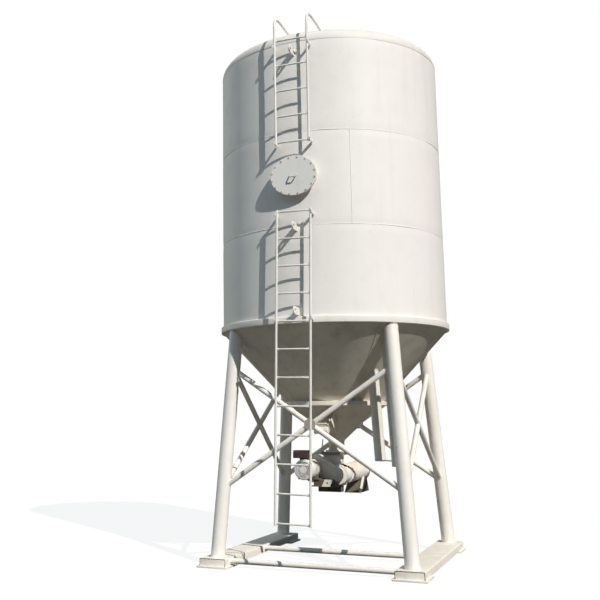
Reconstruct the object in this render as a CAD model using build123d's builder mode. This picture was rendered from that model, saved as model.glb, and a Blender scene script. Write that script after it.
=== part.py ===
"""Cement silo of about 20 cubic metres on four raked legs, with ladders, manway and discharge gear."""

import os
from math import asin, degrees, radians, sqrt, tan

from build123d import *

os.makedirs("parts", exist_ok=True)

# Driving sizes in millimetres. The ladder side faces -Y and +Z is up. The pieces are drawn round the
# upright axis of the shell, and row_place then sets the origin in the middle of the bottom of the box.
shell_radius = 1350.0
sheet = 6.0
course_height = 1085.0
ring_bottom = 2640.0
ring_height = 70.0
ring_width = 27.0
knuckle_radius = 150.0
crown_radius = 3600.0

cone_height = 828.0
cone_low_radius = 580.0
band_height = 50.0
band_reach = 75.0
band_sheet = 8.0
outlet_radius = 95.0
low_cone_height = 410.0
neck_length = 130.0
outlet_flange_radius = 135.0
outlet_flange = 14.0

leg_diameter = 159.0
leg_wall = 8.0
leg_top_inset = 64.5
leg_spread = 175.0

beam_width = 310.0
beam_height = 80.0
beam_wall = 8.0
foot_plate_width = 360.0
foot_plate_thickness = 20.0
rail_diameter = 60.0
rail_wall = 4.0
rail_axis_height = 66.0

brace_diameter = 60.0
brace_wall = 4.0
brace_low = 850.0
brace_drop = 455.0
brace_disc_diameter = 132.0
brace_disc_thickness = 8.0

ladder_stand_off = 95.0
ladder_width = 390.0
ladder_rail = 27.0
rung_diameter = 20.0
rung_end_length = 34.0
rung_end_height = 27.0
rung_end_thickness = 8.0
rung_spacing = 304.0
lower_rungs = 12
lower_rung_start = 527.0
lower_ladder_lean = 1.2
upper_rung_clearance = 120.0
top_rung_drop = 6.0
rail_overhang = 22.0
hoop_radius = 130.0
hoop_rise = 165.0
bracket_bar = 40.0
bracket_bar_thickness = 8.0
bracket_bar_tail = 60.0

lug_reach = 205.0
lug_height = 115.0
lug_thickness = 18.0
lug_eye = 46.0
top_lug_drop = 130.0
middle_lug_drop = 19.0
bottom_lug_rise = 58.0

manway_rise = 559.0
manway_half_width = 271.0
manway_half_height = 229.0
manway_stand_off = 80.0
manway_cover_thickness = 14.0
manway_flange_thickness = 14.0
manway_neck_margin = 36.0
handle_bar = 14.0
handle_width = 72.0
handle_reach = 75.0
handle_drop = 65.0

fill_pipe_diameter = 121.0
vent_pipe_diameter = 60.0
pipe_wall = 5.0
fill_pipe_inset = 314.0
vent_pipe_inset = 115.0
fill_pipe_end = 1150.0
vent_pipe_end = 1106.0
pipe_start_drop = 140.0
pipe_bracket_width = 60.0
pipe_bracket_thickness = 10.0
pipe_bracket_rise = 13.0

valve_height = 36.0
valve_width = 300.0
valve_depth = 270.0
inlet_width = 276.0
inlet_depth = 220.0
inlet_height = 186.0
feeder_x = 30.0
feeder_drop = 35.0
feeder_radius = 115.0
feeder_wall = 6.0
feeder_back = 860.0
feeder_flange_radius = 135.0
feeder_flange = 12.0
strap_thickness = 8.0
strap_width = 30.0
strap_place = 240.0
inlet_slot = 150.0
chute_slot = 130.0
chute_top_width = 180.0
chute_top_length = 160.0
chute_bottom_width = 350.0
chute_bottom_length = 430.0
chute_bottom_shift = 70.0
chute_drop = 255.0
motor_x = -270.0
motor_rise = 70.0
motor_radius = 106.0
fan_cowl_radius = 117.0
fan_cowl_length = 110.0
motor_length = 380.0
guard_thickness = 66.0
guard_big_radius = 168.0
guard_small_radius = 62.0
guard_small_lip = 8.0
gland_length = 8.0
base_thickness = 12.0
base_left_reach = 90.0
base_right_reach = 70.0
base_front_reach = 216.0
base_back_reach = 150.0
stiffener_width = 280.0
stiffener_length = 120.0
stiffener_height = 88.0
motor_foot_width = 40.0
motor_foot_length = 160.0
motor_foot_height = 120.0
motor_foot_spread = 140.0
terminal_width = 150.0
terminal_length = 130.0
terminal_height = 100.0

vibrator_rise = 238.0
mount_stand_off = 62.0
mount_width = 190.0
mount_length = 130.0
mount_plate = 10.0
mount_rib_length = 120.0
side_rib_length = 210.0
vibrator_radius = 42.0
vibrator_length = 170.0
vibrator_foot_width = 110.0
vibrator_foot_length = 70.0
vibrator_stand = 46.0

# Heights and slopes that follow from the driving sizes.
silo_axis_y = (lug_reach - ring_width) / 2
row_place = Location((0, silo_axis_y, 0))
first_seam = ring_bottom + course_height
shell_top = ring_bottom + 3 * course_height
beam_top = foot_plate_thickness + beam_height
leg_top_offset = (shell_radius - leg_top_inset) / sqrt(2)
leg_foot_offset = leg_top_offset + leg_spread
brace_high = ring_bottom - brace_drop
band_top = ring_bottom - cone_height
band_bottom = band_top - band_height
outlet_top = band_bottom - low_cone_height
outlet_bottom = outlet_top - neck_length
valve_bottom = outlet_bottom - valve_height
inlet_bottom = valve_bottom - inlet_height
feeder_axis = inlet_bottom - feeder_drop
motor_axis = feeder_axis + motor_rise
base_top = feeder_axis - feeder_radius
chute_bottom_height = feeder_axis - chute_drop
manway_height = first_seam + manway_rise
manway_top = manway_height + manway_half_height
upper_top = shell_top - top_rung_drop
upper_rungs = int((upper_top - manway_top - upper_rung_clearance) // rung_spacing) + 1
upper_rung_start = upper_top - (upper_rungs - 1) * rung_spacing
hoop_start = shell_top + hoop_rise
cone_slope = (shell_radius - cone_low_radius) / (ring_bottom - band_top)
band_radius = cone_low_radius + band_reach
cone_band_radius = cone_low_radius - cone_slope * band_height
low_cone_slope = (cone_band_radius - outlet_radius) / (band_bottom - outlet_top)
knuckle_centre = shell_radius - knuckle_radius
crown_centre = shell_top - sqrt((crown_radius - knuckle_radius) ** 2 - knuckle_centre**2)
crown_angle = asin(knuckle_centre / (crown_radius - knuckle_radius))
roof_top = crown_centre + crown_radius
ladder_plane = -(shell_radius + ladder_stand_off)
feeder_front = -inlet_depth / 2
guard_back = feeder_front - gland_length
motor_back = guard_back - guard_thickness


def leg_offset(height):
    """How far a leg axis stands from the middle of the silo in X and in Y at a height."""
    rake = (leg_foot_offset - leg_top_offset) / (ring_bottom - beam_top)
    return leg_top_offset + rake * (ring_bottom - height)


def leg_point(side_x, side_y, height, inset=0.0):
    """A point on a leg axis, or on a line inset towards the middle along the diagonal."""
    offset = leg_offset(height) - inset
    return Vector(side_x * offset, side_y * offset, height)


def along(start, end):
    """The plane that stands square on the line from start to end, at its start."""
    return Plane(origin=start, z_dir=end - start)


# Shell envelope, cone envelope and leg envelopes: full solids that trim the pieces seated on them.
with BuildPart() as shell_envelope:
    with BuildSketch(Plane.XY.offset(ring_bottom)):
        Circle(shell_radius)
    extrude(amount=3 * course_height)

with BuildPart() as ring_envelope:
    with BuildSketch(Plane.XY.offset(ring_bottom)):
        Circle(shell_radius + ring_width)
    extrude(amount=ring_height)

with BuildPart() as cone_envelope:
    with BuildSketch(Plane.XZ):
        with BuildLine():
            Polyline(
                (0, ring_bottom),
                (shell_radius, ring_bottom),
                (cone_low_radius, band_top),
                (cone_band_radius, band_bottom),
                (outlet_radius, outlet_top),
                (outlet_radius, outlet_bottom),
                (0, outlet_bottom),
                close=True,
            )
        make_face()
    revolve(axis=Axis.Z)

with BuildPart() as leg_envelopes:
    for side_x in (-1, 1):
        for side_y in (-1, 1):
            foot = leg_point(side_x, side_y, beam_top - 100)
            head = leg_point(side_x, side_y, ring_bottom + 100)
            with BuildSketch(along(foot, head)):
                Circle(leg_diameter / 2)
            extrude(amount=(head - foot).length)

with BuildPart() as roof_envelope:
    with BuildSketch(Plane.XZ):
        with BuildLine():
            knuckle = CenterArc((knuckle_centre, shell_top), knuckle_radius, 0, 90 - degrees(crown_angle))
            crown = CenterArc(
                (0, crown_centre), crown_radius, 90 - degrees(crown_angle), degrees(crown_angle)
            )
            Polyline((0, roof_top), (0, shell_top), (shell_radius, shell_top))
        make_face()
    revolve(axis=Axis.Z)

# Shell: three rolled courses of plate, welded edge to edge. The middle one has the manway opening.
course_names = ("shell_lower_course", "shell_middle_course", "shell_upper_course")
for number, course_name in enumerate(course_names):
    with BuildPart() as course:
        with BuildSketch(Plane.XY.offset(ring_bottom + number * course_height)):
            Circle(shell_radius)
            Circle(shell_radius - sheet, mode=Mode.SUBTRACT)
        extrude(amount=course_height)
        if course_name == "shell_middle_course":
            with BuildSketch(Plane.XZ.offset(shell_radius + 100)):
                with Locations((0, manway_height)):
                    Ellipse(
                        manway_half_width - manway_neck_margin - sheet,
                        manway_half_height - manway_neck_margin - sheet,
                    )
            extrude(amount=-600, mode=Mode.SUBTRACT)
    course.part.label = course_name
    export_step(course.part.moved(row_place), f"parts/{course_name}.step")

# Roof: dished end with a tight knuckle and a flat crown.
with BuildPart() as roof:
    with BuildSketch(Plane.XZ):
        with BuildLine():
            outer_knuckle = CenterArc(
                (knuckle_centre, shell_top), knuckle_radius, 0, 90 - degrees(crown_angle)
            )
            outer_crown = CenterArc(
                (0, crown_centre), crown_radius, 90 - degrees(crown_angle), degrees(crown_angle)
            )
            Line((0, roof_top), (0, roof_top - sheet))
            inner_crown = CenterArc(
                (0, crown_centre), crown_radius - sheet, 90 - degrees(crown_angle), degrees(crown_angle)
            )
            inner_knuckle = CenterArc(
                (knuckle_centre, shell_top), knuckle_radius - sheet, 0, 90 - degrees(crown_angle)
            )
            Line((shell_radius - sheet, shell_top), (shell_radius, shell_top))
        make_face()
    revolve(axis=Axis.Z)
roof.part.label = "roof"
export_step(roof.part.moved(row_place), "parts/roof.step")

# Base ring: flat bar rolled on edge round the foot of the shell; the legs stand under it.
with BuildPart() as base_ring:
    with BuildSketch(Plane.XY.offset(ring_bottom)):
        Circle(shell_radius + ring_width)
        Circle(shell_radius, mode=Mode.SUBTRACT)
    extrude(amount=ring_height)
base_ring.part.label = "base_ring"
export_step(base_ring.part.moved(row_place), "parts/base_ring.step")

# Upper cone: rolled sheet from the shell down to the flanged joint.
cone_wall = sheet * sqrt(1 + cone_slope**2)
with BuildPart() as upper_cone:
    with BuildSketch(Plane.XZ):
        with BuildLine():
            Polyline(
                (shell_radius, ring_bottom),
                (cone_band_radius, band_bottom),
                (cone_band_radius - cone_wall, band_bottom),
                (shell_radius - cone_wall, ring_bottom),
                close=True,
            )
        make_face()
    revolve(axis=Axis.Z)
upper_cone.part.label = "upper_cone"
export_step(upper_cone.part.moved(row_place), "parts/upper_cone.step")

# Cone band: rolled angle round the cone, flat leg on top and upright leg outside.
with BuildPart() as cone_band:
    with BuildSketch(Plane.XZ):
        with BuildLine():
            Polyline(
                (cone_low_radius, band_top),
                (band_radius, band_top),
                (band_radius, band_bottom),
                (band_radius - band_sheet, band_bottom),
                (band_radius - band_sheet, band_top - band_sheet),
                (cone_low_radius - cone_slope * band_sheet, band_top - band_sheet),
                close=True,
            )
        make_face()
    revolve(axis=Axis.Z)
cone_band.part.label = "cone_band"
export_step(cone_band.part.moved(row_place), "parts/cone_band.step")

# Lower cone: steeper sheet cone with the round outlet neck and its flange.
low_wall = sheet * sqrt(1 + low_cone_slope**2)
with BuildPart() as lower_cone:
    with BuildSketch(Plane.XZ):
        with BuildLine():
            Polyline(
                (cone_band_radius, band_bottom),
                (outlet_radius, outlet_top),
                (outlet_radius, outlet_bottom + outlet_flange),
                (outlet_flange_radius, outlet_bottom + outlet_flange),
                (outlet_flange_radius, outlet_bottom),
                (outlet_radius - sheet, outlet_bottom),
                (outlet_radius - sheet, outlet_top + sheet / low_cone_slope),
                (cone_band_radius - low_wall, band_bottom),
                close=True,
            )
        make_face()
    revolve(axis=Axis.Z)
lower_cone.part.label = "lower_cone"
export_step(lower_cone.part.moved(row_place), "parts/lower_cone.step")

# Legs: raked pipes, cut flat on the side beams, flat under the ring and along the cone.
leg_names = {
    (1, -1): "leg_front_right",
    (-1, -1): "leg_front_left",
    (1, 1): "leg_back_right",
    (-1, 1): "leg_back_left",
}
for (side_x, side_y), leg_name in leg_names.items():
    foot = leg_point(side_x, side_y, beam_top - 100)
    head = leg_point(side_x, side_y, ring_bottom + 100)
    with BuildPart() as leg:
        with BuildSketch(along(foot, head)):
            Circle(leg_diameter / 2)
            Circle(leg_diameter / 2 - leg_wall, mode=Mode.SUBTRACT)
        extrude(amount=(head - foot).length)
        split(bisect_by=Plane.XY.offset(beam_top), keep=Keep.TOP)
        split(bisect_by=Plane.XY.offset(ring_bottom), keep=Keep.BOTTOM)
        add(cone_envelope.part, mode=Mode.SUBTRACT)
    leg.part.label = leg_name
    export_step(leg.part.moved(row_place), f"parts/{leg_name}.step")

# Bracing: on each side one long diagonal pipe, and a second one in two halves welded to it.
long_low = leg_point(-1, -1, brace_low)
long_high = leg_point(1, -1, brace_high)
cut_low = leg_point(1, -1, brace_low)
cut_high = leg_point(-1, -1, brace_high)
with BuildPart() as front_long_brace:
    with BuildSketch(along(long_low, long_high)):
        Circle(brace_diameter / 2)
        Circle(brace_diameter / 2 - brace_wall, mode=Mode.SUBTRACT)
    extrude(amount=(long_high - long_low).length)
    add(leg_envelopes.part, mode=Mode.SUBTRACT)
with BuildPart() as front_brace_halves:
    with BuildSketch(along(cut_low, cut_high)):
        Circle(brace_diameter / 2)
        Circle(brace_diameter / 2 - brace_wall, mode=Mode.SUBTRACT)
    extrude(amount=(cut_high - cut_low).length)
    add(leg_envelopes.part, mode=Mode.SUBTRACT)
    with BuildSketch(along(long_low, long_high)):
        Circle(brace_diameter / 2)
    extrude(amount=(long_high - long_low).length, mode=Mode.SUBTRACT)
for brace_name, front_brace in (("long_braces", front_long_brace), ("brace_halves", front_brace_halves)):
    with BuildPart() as braces:
        for turn in (0, 90, 180, 270):
            add(front_brace.part, rotation=(0, 0, turn))
    braces.part.label = brace_name
    export_step(braces.part.moved(row_place), f"parts/{brace_name}.step")

# Brace discs: round plates welded over the crossings of the front and back bracing.
cross_share = leg_offset(brace_low) / (leg_offset(brace_low) + leg_offset(brace_high))
cross_height = brace_low + cross_share * (brace_high - brace_low)
face_rake = (leg_foot_offset - leg_top_offset) / (ring_bottom - beam_top)
face_normal = Vector(0, -1, face_rake).normalized()
cross_point = Vector(0, -leg_offset(cross_height), cross_height)
with BuildPart() as brace_discs:
    for turn in (0, 180):
        normal = face_normal.rotate(Axis.Z, turn)
        point = cross_point.rotate(Axis.Z, turn) + normal * (brace_diameter / 2)
        with BuildSketch(Plane(origin=point, z_dir=normal)):
            Circle(brace_disc_diameter / 2)
        extrude(amount=brace_disc_thickness)
brace_discs.part.label = "brace_discs"
export_step(brace_discs.part.moved(row_place), "parts/brace_discs.step")

# Side beams: wide channels laid flat, web on top, with closed ends. Each carries two legs.
beam_length = 2 * leg_foot_offset + beam_width
for side, beam_name in ((-1, "left_side_beam"), (1, "right_side_beam")):
    with BuildPart() as beam:
        with Locations((side * leg_foot_offset, 0, foot_plate_thickness)):
            Box(beam_width, beam_length, beam_height, align=(Align.CENTER, Align.CENTER, Align.MIN))
            Box(
                beam_width - 2 * beam_wall,
                beam_length - 2 * beam_wall,
                beam_height - beam_wall,
                align=(Align.CENTER, Align.CENTER, Align.MIN),
                mode=Mode.SUBTRACT,
            )
    beam.part.label = beam_name
    export_step(beam.part.moved(row_place), f"parts/{beam_name}.step")

# Foot plates: square plates under the legs, welded to the lower edges of the beams.
with BuildPart() as foot_plates:
    with GridLocations(2 * leg_foot_offset, 2 * leg_foot_offset, 2, 2):
        Box(
            foot_plate_width,
            foot_plate_width,
            foot_plate_thickness,
            align=(Align.CENTER, Align.CENTER, Align.MIN),
        )
foot_plates.part.label = "foot_plates"
export_step(foot_plates.part.moved(row_place), "parts/foot_plates.step")

# Cross rails: a pipe between the front feet and another between the middles of the side beams.
rail_span = 2 * leg_foot_offset - beam_width
for rail_name, rail_y in (("front_cross_rail", -leg_foot_offset), ("middle_cross_rail", 0)):
    with BuildPart() as cross_rail:
        with BuildSketch(Plane(origin=(-rail_span / 2, rail_y, rail_axis_height), z_dir=(1, 0, 0))):
            Circle(rail_diameter / 2)
            Circle(rail_diameter / 2 - rail_wall, mode=Mode.SUBTRACT)
        extrude(amount=rail_span)
    cross_rail.part.label = rail_name
    export_step(cross_rail.part.moved(row_place), f"parts/{rail_name}.step")

# Upper ladder: two pipe rails that hoop over onto the roof, and five rungs with flattened ends.
half_ladder = ladder_width / 2
with BuildPart() as upper_ladder_rails:
    for side in (-1, 1):
        rail_start = Vector(side * half_ladder, ladder_plane, upper_rung_start - rail_overhang)
        hoop_foot = Vector(side * half_ladder, ladder_plane, hoop_start)
        with BuildLine():
            Line(rail_start, hoop_foot)
            ThreePointArc(
                hoop_foot,
                hoop_foot + Vector(0, hoop_radius, hoop_radius),
                hoop_foot + Vector(0, 2 * hoop_radius, 0),
            )
            Line(
                hoop_foot + Vector(0, 2 * hoop_radius, 0),
                hoop_foot + Vector(0, 2 * hoop_radius, shell_top - hoop_start),
            )
        with BuildSketch(Plane(origin=rail_start, z_dir=(0, 0, 1))):
            Circle(ladder_rail / 2)
        sweep()
    add(roof_envelope.part, mode=Mode.SUBTRACT)
upper_ladder_rails.part.label = "upper_ladder_rails"
export_step(upper_ladder_rails.part.moved(row_place), "parts/upper_ladder_rails.step")

with BuildPart() as one_rung:
    Cylinder(rung_diameter / 2, ladder_width, rotation=(0, 90, 0))
    with GridLocations(ladder_width - rung_end_length, 0, 2, 1):
        Box(rung_end_length, rung_end_thickness, rung_end_height)
    with GridLocations(ladder_width, 0, 2, 1):
        Cylinder(ladder_rail / 2, 2 * rung_end_height, mode=Mode.SUBTRACT)
with BuildPart() as upper_ladder_rungs:
    for number in range(upper_rungs):
        with Locations((0, ladder_plane, upper_rung_start + number * rung_spacing)):
            add(one_rung.part)
upper_ladder_rungs.part.label = "upper_ladder_rungs"
export_step(upper_ladder_rungs.part.moved(row_place), "parts/upper_ladder_rungs.step")

# Lower ladder: twelve rungs between straight rails, hanging a little off plumb.
lower_top = lower_rung_start + (lower_rungs - 1) * rung_spacing
lean_axis = Axis((0, ladder_plane, lower_top), (0, 1, 0))
with BuildPart() as plumb_rails:
    with Locations(
        (-half_ladder, ladder_plane, lower_rung_start - rail_overhang),
        (half_ladder, ladder_plane, lower_rung_start - rail_overhang),
    ):
        Cylinder(
            ladder_rail / 2,
            lower_top - lower_rung_start + 2 * rail_overhang,
            align=(Align.CENTER, Align.CENTER, Align.MIN),
        )
with BuildPart() as plumb_rungs:
    for number in range(lower_rungs):
        with Locations((0, ladder_plane, lower_rung_start + number * rung_spacing)):
            add(one_rung.part)
with BuildPart() as lower_ladder_rails:
    add(plumb_rails.part.rotate(lean_axis, lower_ladder_lean))
lower_ladder_rails.part.label = "lower_ladder_rails"
export_step(lower_ladder_rails.part.moved(row_place), "parts/lower_ladder_rails.step")
with BuildPart() as lower_ladder_rungs:
    add(plumb_rungs.part.rotate(lean_axis, lower_ladder_lean))
lower_ladder_rungs.part.label = "lower_ladder_rungs"
export_step(lower_ladder_rungs.part.moved(row_place), "parts/lower_ladder_rungs.step")

# Ladder brackets: short flat bars from the rails to the shell, or to the ring.
upper_bracket_heights = (upper_rung_start + ladder_rail, upper_top - bracket_bar_tail)
with BuildPart() as upper_ladder_brackets:
    for height in upper_bracket_heights:
        for side in (-1, 1):
            with Locations((side * half_ladder, ladder_plane, height)):
                Box(
                    bracket_bar_thickness,
                    ladder_stand_off + bracket_bar_tail,
                    bracket_bar,
                    align=(Align.CENTER, Align.MIN, Align.CENTER),
                )
    add(shell_envelope.part, mode=Mode.SUBTRACT)
    for height in upper_bracket_heights:
        with Locations((-half_ladder, ladder_plane, height), (half_ladder, ladder_plane, height)):
            Cylinder(ladder_rail / 2, 4 * bracket_bar, mode=Mode.SUBTRACT)
upper_ladder_brackets.part.label = "upper_ladder_brackets"
export_step(upper_ladder_brackets.part.moved(row_place), "parts/upper_ladder_brackets.step")

lower_bracket_heights = (lower_top - 20, ring_bottom + ring_height / 2 + 10)
with BuildPart() as lower_ladder_brackets:
    for height in lower_bracket_heights:
        shift = -(lower_top - height) * tan(radians(lower_ladder_lean))
        for side in (-1, 1):
            with Locations((side * half_ladder + shift, ladder_plane, height)):
                Box(
                    bracket_bar_thickness,
                    ladder_stand_off + bracket_bar_tail,
                    bracket_bar,
                    align=(Align.CENTER, Align.MIN, Align.CENTER),
                )
    add(shell_envelope.part, mode=Mode.SUBTRACT)
    add(ring_envelope.part, mode=Mode.SUBTRACT)
    add(lower_ladder_rails.part, mode=Mode.SUBTRACT)
lower_ladder_brackets.part.label = "lower_ladder_brackets"
export_step(lower_ladder_brackets.part.moved(row_place), "parts/lower_ladder_brackets.step")

# Lifting lugs: upright plates square to the shell, with a round outer end and an eye.
lug_heights = {
    "top_lifting_lug": shell_top - top_lug_drop,
    "middle_lifting_lug": first_seam - middle_lug_drop,
    "bottom_lifting_lug": ring_bottom + ring_height + bottom_lug_rise,
}
for lug_name, height in lug_heights.items():
    with BuildPart() as lug:
        with BuildSketch(Plane.YZ.offset(-lug_thickness / 2)):
            with Locations((-shell_radius - lug_reach + lug_height / 2, height)):
                Circle(lug_height / 2)
            with Locations((-shell_radius + 20, height)):
                Rectangle(
                    lug_reach - lug_height / 2 + 20, lug_height, align=(Align.MAX, Align.CENTER)
                )
            with Locations((-shell_radius - lug_reach + lug_height / 2, height)):
                Circle(lug_eye / 2, mode=Mode.SUBTRACT)
        extrude(amount=lug_thickness)
        add(shell_envelope.part, mode=Mode.SUBTRACT)
        if lug_name == "bottom_lifting_lug":
            add(ring_envelope.part, mode=Mode.SUBTRACT)
    lug.part.label = lug_name
    export_step(lug.part.moved(row_place), f"parts/{lug_name}.step")

# Manway: oval neck and flange on the shell, blind oval cover, and a bent bar handle.
neck_width = manway_half_width - manway_neck_margin
neck_height = manway_half_height - manway_neck_margin
cover_face = shell_radius + manway_stand_off
flange_face = cover_face - manway_cover_thickness
with BuildPart() as manway_neck:
    with BuildSketch(Plane.XZ.offset(flange_face - manway_flange_thickness)):
        with Locations((0, manway_height)):
            Ellipse(manway_half_width, manway_half_height)
    extrude(amount=manway_flange_thickness)
    with BuildSketch(Plane.XZ.offset(flange_face)):
        with Locations((0, manway_height)):
            Ellipse(neck_width, neck_height)
    extrude(amount=-220)
    with BuildSketch(Plane.XZ.offset(flange_face)):
        with Locations((0, manway_height)):
            Ellipse(neck_width - sheet, neck_height - sheet)
    extrude(amount=-220, mode=Mode.SUBTRACT)
    add(shell_envelope.part, mode=Mode.SUBTRACT)
manway_neck.part.label = "manway_neck"
export_step(manway_neck.part.moved(row_place), "parts/manway_neck.step")

with BuildPart() as manway_cover:
    with BuildSketch(Plane.XZ.offset(flange_face)):
        with Locations((0, manway_height)):
            Ellipse(manway_half_width, manway_half_height)
    extrude(amount=manway_cover_thickness)
manway_cover.part.label = "manway_cover"
export_step(manway_cover.part.moved(row_place), "parts/manway_cover.step")

with BuildPart() as manway_handle:
    handle_points = (
        (-handle_width / 2, -cover_face + 20, manway_height + 28),
        (-handle_width / 2, -cover_face - handle_reach, manway_height + 8 - handle_drop),
        (handle_width / 2, -cover_face - handle_reach, manway_height + 8 - handle_drop),
        (handle_width / 2, -cover_face + 20, manway_height + 28),
    )
    with BuildLine():
        FilletPolyline(*handle_points, radius=18)
    with BuildSketch(along(Vector(*handle_points[0]), Vector(*handle_points[1]))):
        Circle(handle_bar / 2)
    sweep()
    split(bisect_by=Plane.XZ.offset(cover_face), keep=Keep.TOP)
manway_handle.part.label = "manway_handle"
export_step(manway_handle.part.moved(row_place), "parts/manway_handle.step")

# Fill and vent pipes: beside the front right leg, parallel to it, up into the cone.
pipe_data = (
    ("fill_pipe", fill_pipe_diameter, fill_pipe_inset, fill_pipe_end),
    ("vent_pipe", vent_pipe_diameter, vent_pipe_inset, vent_pipe_end),
)
for pipe_name, diameter, inset, end in pipe_data:
    low = leg_point(1, -1, end - 100, inset)
    high = leg_point(1, -1, ring_bottom - pipe_start_drop, inset)
    with BuildPart() as pipe:
        with BuildSketch(along(low, high)):
            Circle(diameter / 2)
            Circle(diameter / 2 - pipe_wall, mode=Mode.SUBTRACT)
        extrude(amount=(high - low).length)
        split(bisect_by=Plane.XY.offset(end), keep=Keep.TOP)
        add(cone_envelope.part, mode=Mode.SUBTRACT)
    pipe.part.label = pipe_name
    export_step(pipe.part.moved(row_place), f"parts/{pipe_name}.step")

# Pipe bracket: flat bar lying level from the leg past the vent pipe to the fill pipe.
bracket_height = fill_pipe_end + pipe_bracket_rise
near = leg_point(1, -1, bracket_height)
far = leg_point(1, -1, bracket_height, fill_pipe_inset)
with BuildPart() as pipe_bracket:
    with BuildSketch(Plane(origin=near, x_dir=(1, 1, 0), z_dir=far - near)):
        Rectangle(pipe_bracket_width, pipe_bracket_thickness)
    extrude(amount=(far - near).length)
    for pipe_name, diameter, inset, end in pipe_data:
        low = leg_point(1, -1, end - 100, inset)
        high = leg_point(1, -1, ring_bottom, inset)
        with BuildSketch(along(low, high)):
            Circle(diameter / 2)
        extrude(amount=(high - low).length, mode=Mode.SUBTRACT)
    add(leg_envelopes.part, mode=Mode.SUBTRACT)
pipe_bracket.part.label = "pipe_bracket"
export_step(pipe_bracket.part.moved(row_place), "parts/pipe_bracket.step")

# Slide valve: flat body bolted under the outlet flange, with a hand lever on its left.
with BuildPart() as slide_valve:
    with Locations((0, 0, valve_bottom)):
        Box(valve_width, valve_depth, valve_height, align=(Align.CENTER, Align.CENTER, Align.MIN))
        Cylinder(
            outlet_radius - sheet,
            valve_height,
            align=(Align.CENTER, Align.CENTER, Align.MIN),
            mode=Mode.SUBTRACT,
        )
slide_valve.part.label = "slide_valve"
export_step(slide_valve.part.moved(row_place), "parts/slide_valve.step")

with BuildPart() as valve_lever:
    with Locations((-valve_width / 2 - 17, -60, valve_bottom + valve_height / 2)):
        Box(34, 60, 26)
    with BuildSketch(
        along(
            Vector(-valve_width / 2 - 17, -60, valve_bottom + valve_height / 2),
            Vector(-valve_width / 2 + 8, -90, outlet_top + 30),
        )
    ):
        Circle(7)
    extrude(amount=170)
valve_lever.part.label = "valve_lever"
export_step(valve_lever.part.moved(row_place), "parts/valve_lever.step")

# Inlet box: welded sheet box between the valve and the feeder tube.
with BuildPart() as inlet_box:
    with Locations((0, 0, valve_bottom)):
        Box(
            inlet_width,
            inlet_depth,
            valve_bottom - inlet_bottom,
            align=(Align.CENTER, Align.CENTER, Align.MAX),
        )
        Box(
            inlet_width - 2 * sheet,
            inlet_depth - 2 * sheet,
            valve_bottom - inlet_bottom,
            align=(Align.CENTER, Align.CENTER, Align.MAX),
            mode=Mode.SUBTRACT,
        )
    with BuildSketch(Plane(origin=(feeder_x, -inlet_depth, feeder_axis), z_dir=(0, 1, 0))):
        Circle(feeder_radius)
    extrude(amount=feeder_back, mode=Mode.SUBTRACT)
inlet_box.part.label = "inlet_box"
export_step(inlet_box.part.moved(row_place), "parts/inlet_box.step")

# Feeder tube: horizontal screw housing, open above to the box and below to the chute. It has an end
# flange at the back, a strap round its middle and a round gland in front that carries the belt guard.
with BuildPart() as feeder_tube:
    with BuildSketch(Plane(origin=(feeder_x, feeder_front, feeder_axis), z_dir=(0, 1, 0))):
        Circle(feeder_radius)
    extrude(amount=feeder_back - feeder_front)
    with BuildSketch(Plane(origin=(feeder_x, feeder_back, feeder_axis), z_dir=(0, 1, 0))):
        Circle(feeder_flange_radius)
    extrude(amount=feeder_flange)
    strap_start = feeder_front + strap_place
    with BuildSketch(Plane(origin=(feeder_x, strap_start, feeder_axis), z_dir=(0, 1, 0))):
        Circle(feeder_radius + strap_thickness)
    extrude(amount=strap_width)
    with BuildSketch(Plane(origin=(feeder_x, guard_back, feeder_axis), z_dir=(0, 1, 0))):
        Circle(guard_small_radius - guard_small_lip)
    extrude(amount=gland_length)
    with BuildSketch(Plane(origin=(feeder_x, feeder_front + feeder_wall, feeder_axis), z_dir=(0, 1, 0))):
        Circle(feeder_radius - feeder_wall)
    extrude(amount=feeder_back - feeder_front - feeder_wall, mode=Mode.SUBTRACT)
    with Locations((feeder_x, 0, feeder_axis)):
        Box(
            inlet_slot,
            inlet_slot,
            2 * feeder_radius,
            align=(Align.CENTER, Align.CENTER, Align.MIN),
            mode=Mode.SUBTRACT,
        )
    with Locations((feeder_x, feeder_back - chute_top_length / 2 - feeder_flange, feeder_axis)):
        Box(
            chute_slot,
            chute_slot,
            2 * feeder_radius,
            align=(Align.CENTER, Align.CENTER, Align.MAX),
            mode=Mode.SUBTRACT,
        )
feeder_tube.part.label = "feeder_tube"
export_step(feeder_tube.part.moved(row_place), "parts/feeder_tube.step")

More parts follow.
